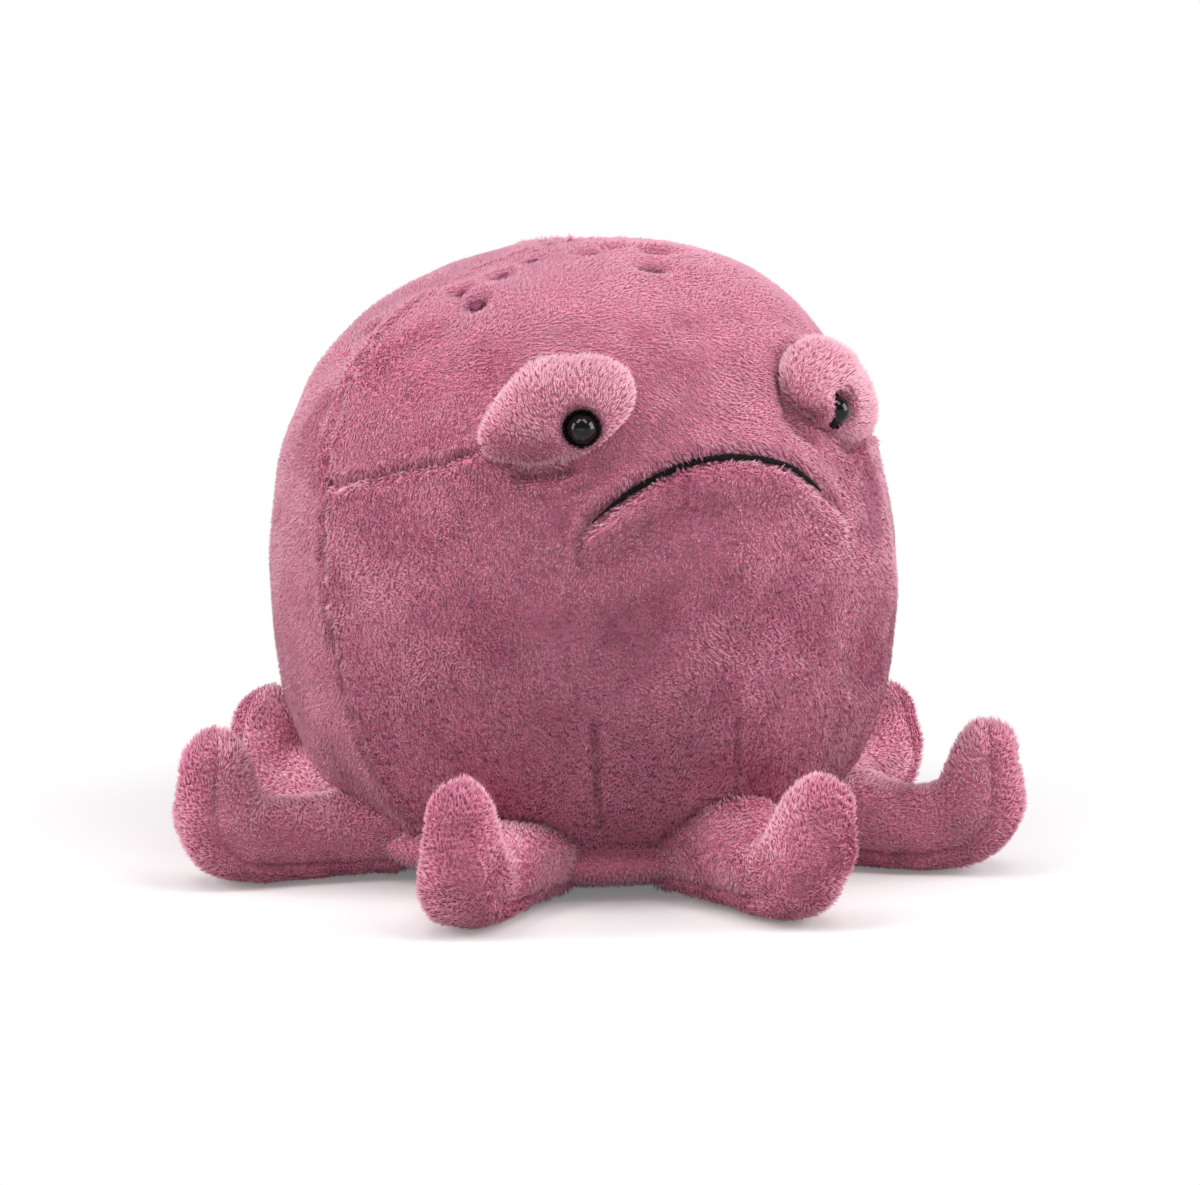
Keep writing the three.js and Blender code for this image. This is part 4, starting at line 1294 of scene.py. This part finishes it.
def mouth_stitches():
    """A satin-stitched line: short threads laid slantwise, close together, over the seam."""
    line = evenly(mouth_line[1:-13], MOUTH_STITCH_STEP)
    normals = np.array([body_normal(t, z) for t, z in zip(turn_of(line), line[:, 2])])
    along = unit(np.gradient(line, axis=0))
    share = np.linspace(0, 1, len(line))
    ends = np.clip(np.minimum(share / 0.12, (1 - share) / 0.06), 0.25, 1)
    width = (MOUTH_LINE_WIDTH + 0.4 * waves(line, 7, 81)) * ends
    lays = (np.cross(normals, along) * 0.86 + along * 0.5) * width[:, None]
    places = line - normals * 0.4
    thread = (black_thread, BLACK_THREAD_WIDTH)
    return lay_stitches("mouth_stitching_thread", places, lays, *thread, 0.26, 3)


def ring_stitches(side, name):
    """Uneven overcast stitches round an eye."""
    look = bead_frame(side)
    draw = np.random.default_rng(90 + side)
    places, lays = [], []
    for angle in around(RING_STITCHES):
        radius = BEAD_RADIUS + 0.1 + draw.uniform(-0.15, 0.2)
        outward = np.array([math.cos(angle), math.sin(angle), 0])
        onward = np.array([-math.sin(angle), math.cos(angle), 0])
        places.append(outward * radius + (0, 0, draw.uniform(-0.6, 0.1)))
        lay = outward * draw.uniform(1.1, 1.7) + onward * draw.uniform(0.4, 1.2)
        lays.append(lay + np.array([0, 0, draw.uniform(-0.5, 0.2)]))
    places = from_frame(look, np.array(places))
    lays = np.array(lays) @ look[1]
    thread = (black_thread, BLACK_THREAD_WIDTH)
    return lay_stitches(f"{name}_eye_ring_thread", places, lays, *thread, 0.1, 7)


def spot_stitches(index):
    """Threads laid side by side across the bottom of a pit."""
    middle, long, short, out = spot_places[index]
    _, _, half_long, half_short, _ = SPOTS[index]
    bottom = middle - out * (PILE_STAND + SPOT_THREAD_DEPTH)
    places, lays = [], []
    for number, share in enumerate(np.linspace(-0.9, 0.9, SPOT_THREADS)):
        width = half_short * math.sqrt(1 - share * share) * 0.85
        places.append(bottom + long * half_long * 0.5 * share)
        lays.append(short * width + long * 0.3 * (-1) ** number)
    name, thread = f"crown_spot_{index + 1}_thread", (spot_thread, SPOT_THREAD_WIDTH)
    return lay_stitches(name, places, lays, *thread, 0.1, 11 + index)


def make_bead(side, name):
    """A round-topped bead and the shank that holds it."""
    look = bead_frame(side)
    bow = np.radians(np.linspace(-62, 88, 24))
    ball = BEAD_RADIUS * np.stack([0.93 * np.cos(bow), 0.94 * np.sin(bow)], 1)
    shank = [(1.6, -12.0), (1.6, -8.5), (1.6, -5.2)]
    radius, height = np.concatenate([shank, ball]).T[..., None]
    angle = around(48)
    rings = np.stack([
        radius * np.cos(angle), radius * np.sin(angle), height + np.zeros_like(angle)
    ], -1)
    ends = from_frame(look, np.array([[0, 0, -12.0], [0, 0, BEAD_RADIUS * 0.94]]))
    piece = closed_form(f"{name}_eye_bead_polished", from_frame(look, rings), ends[0], ends[1])
    piece.data.materials.append(black_bead)
    return piece


# Putting the pieces together


def wear(piece, slot_name, body, *nodes):
    """A piece that rides on one body and stands for CAD nodes, which it hides; the slot's name is not used.
    """
    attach(piece, body)
    if nodes:
        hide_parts(*nodes)
    return piece


# The body's panels in the order of their numbers

PANEL_NAMES = [
    "base_panel", "forehead_panel", "chin_panel", "left_cheek_panel", "right_cheek_panel",
    "left_back_panel", "right_back_panel", "left_back_panel_upper", "right_back_panel_upper",
]

body = make_body()
body.data.materials.append(rose_backing)
for panel, name in enumerate(PANEL_NAMES):
    slot_name, finish, sizes = "crown_cloth", crown_pile, CROWN_PILE
    if panel == BASE:
        slot_name, finish, sizes = "sole_cloth", base_pile, BASE_PILE
    elif panel in (CHIN, LEFT_CHEEK, RIGHT_CHEEK):
        slot_name, finish, sizes = "face_cloth", face_pile, FACE_PILE
    pile = grow_pile(f"{name}_pile", body, finish, sizes, panel, 100 + panel)
    nodes = [name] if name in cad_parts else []
    wear(pile, slot_name, "body", *nodes)
wear(body, "crown_cloth", "body", "body_filling", "pellet_pouch")

for side, name in ((-1, "left"), (1, "right")):
    mound = make_mound(side, name)
    mound.data.materials.append(arm_backing)
    pile = grow_pile(f"{name}_eye_mound_pile", mound, mound_pile, MOUND_PILE, 0, 200 + side)
    wear(pile, "arm_cloth", "body", f"{name}_eye_mound")
    wear(mound, "arm_cloth", "body", f"{name}_eye_filling")
    wear(make_bead(side, name), "black_plastic", "body", f"{name}_eye_bead")
    wear(ring_stitches(side, name), "black_thread", "body", f"{name}_eye_ring")

for index, (name, heading, *shape) in enumerate(ARMS):
    arm = make_arm(name, heading, *shape, 300 + 10 * index)
    arm.data.materials.append(arm_backing)
    skin = grow_pile(f"{name}_pile", arm, arm_pile, ARM_PILE, 0, 400 + index)
    sole = grow_pile(f"{name}_sole_pile", arm, sole_pile, ARM_PILE, 1, 420 + index)
    lift = Vector((0, 0, HINGE_HEIGHT * MM))
    start, end = [
        Vector(direction(float(heading)) * (ARM_ROOT_RADIUS + out) * MM) + lift
        for out in BLEND_REACH
    ]
    for piece, slot_name, node in (
        (arm, "fibre", f"{name}_filling"), (skin, "arm_cloth", f"{name}_skin"),
        (sole, "sole_cloth", f"{name}_sole"),
    ):
        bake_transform(piece, "body", name, start=start, end=end)
        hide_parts(node)

wear(mouth_stitches(), "black_thread", "body", "mouth_stitching")
for index in range(len(SPOTS)):
    wear(spot_stitches(index), "spot_thread", "body", f"crown_spot_{index + 1}")

for name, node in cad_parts.items():
    if name.endswith("_washer"):
        node.data.materials.clear()
        node.data.materials.append(washer_plastic)


# Camera, stage and light


def from_target(azimuth, elevation):
    """The way from the target to a camera or a lamp at these angles."""
    azimuth, elevation = math.radians(azimuth), math.radians(elevation)
    level = math.cos(elevation)
    return Vector((math.sin(azimuth) * level, -math.cos(azimuth) * level, math.sin(elevation)))


def place_camera():
    back = from_target(CAMERA_AZIMUTH, CAMERA_ELEVATION)
    right = Vector((-back.y, back.x, 0)).normalized()
    camera = bpy.data.cameras.new("Camera")
    camera.sensor_width = SENSOR
    camera.lens = SENSOR * CAMERA_DISTANCE / METRES_PER_PIXEL / IMAGE_WIDTH
    camera.shift_x = (IMAGE_WIDTH / 2 - TARGET_PIXEL[0]) / IMAGE_WIDTH
    camera.shift_y = -(IMAGE_HEIGHT / 2 - TARGET_PIXEL[1]) / IMAGE_WIDTH
    camera.dof.use_dof = False
    camera.clip_start, camera.clip_end = 0.05, 60
    holder = place_in_scene("Camera", camera)
    place = Matrix((right, back.cross(right), back)).transposed().to_4x4()
    place.translation = Vector(TARGET) + back * CAMERA_DISTANCE
    holder.matrix_world = place
    bpy.context.scene.camera = holder


def rays_that_show(tree, mask=1.0):
    """1 for the eye's rays and, as far as a mask allows, for reflected and refracted ones."""
    path = tree.node("ShaderNodeLightPath")
    mirrored = path.other("Is Glossy Ray").largest(path.other("Is Transmission Ray"))
    return path.other("Is Camera Ray").largest(mirrored * mask)


def lay_floor():
    """A plain pale floor that fades to a white background away from the object."""
    corners = [(x * FLOOR_HALF, y * FLOOR_HALF, 0) for x, y in ((-1, -1), (1, -1), (1, 1), (-1, 1))]
    floor = make_object("Floor", corners, [(0, 1, 2, 3)])
    material, tree = new_material("Pale_studio_floor")
    away = tree.vector("DISTANCE", tree.place(), (-0.08, 0.05, 0), output="Value")
    far = 0.16 + 0.84 * away.eased(0.2, 0.34)
    shade = tree.mixed(rays_that_show(tree), (0.5, 0.5, 0.5, 1), (0.95, 0.95, 0.95, 1))
    plain = tree.node(
        "ShaderNodeBsdfPrincipled", None,
        {"Base Color": shade, "Roughness": 0.9, "Specular IOR Level": 0.1},
    )
    white = tree.node("ShaderNodeEmission", None, {"Color": WHITE, "Strength": 1.0})
    shares = {0: rays_that_show(tree) * far, 1: plain, 2: white}
    shown = tree.node("ShaderNodeMixShader", None, shares)
    tree.node("ShaderNodeOutputMaterial", None, {"Surface": shown})
    floor.data.materials.append(material)
    floor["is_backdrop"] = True


def light_sky(strength):
    """A sky that is white to the eye and in low reflections, and dim as a light."""
    world = bpy.data.worlds.new("World")
    bpy.context.scene.world = world
    world.use_nodes = True
    world.node_tree.nodes.clear()
    tree = Tree(world.node_tree)
    ray = tree.node("ShaderNodeTexCoord", output="Generated")
    shown = rays_that_show(tree, 1 - tree.upward(ray).eased(0.1, 0.3))
    strengths = {"Color": WHITE, "Strength": shown + (1 - shown) * strength}
    sky = tree.node("ShaderNodeBackground", None, strengths)
    tree.node("ShaderNodeOutputWorld", None, {"Surface": sky})


def hang_softbox(name, azimuth, elevation, distance, size, level):
    """A softbox that lights a surface facing it to the given share of white."""
    back = from_target(azimuth, elevation)
    lamp = bpy.data.lights.new(name, "AREA")
    lamp.shape = "RECTANGLE"
    lamp.size, lamp.size_y = size
    lamp.energy = level * math.pi**2 * distance**2
    holder = place_in_scene(name, lamp)
    holder.location = Vector(TARGET) + back * distance
    holder.rotation_mode = "QUATERNION"
    holder.rotation_quaternion = back.to_track_quat("Z", "Y")


place_camera()
lay_floor()
light_sky(SKY_LIGHT)
for softbox in SOFTBOXES:
    hang_softbox(*softbox)
bpy.context.scene.view_settings.view_transform = "Standard"

low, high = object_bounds()
sizes = {
    "cad": [list(cad_box[0]), list(cad_box[1])],
    "visual": [list(low), list(high)],
}
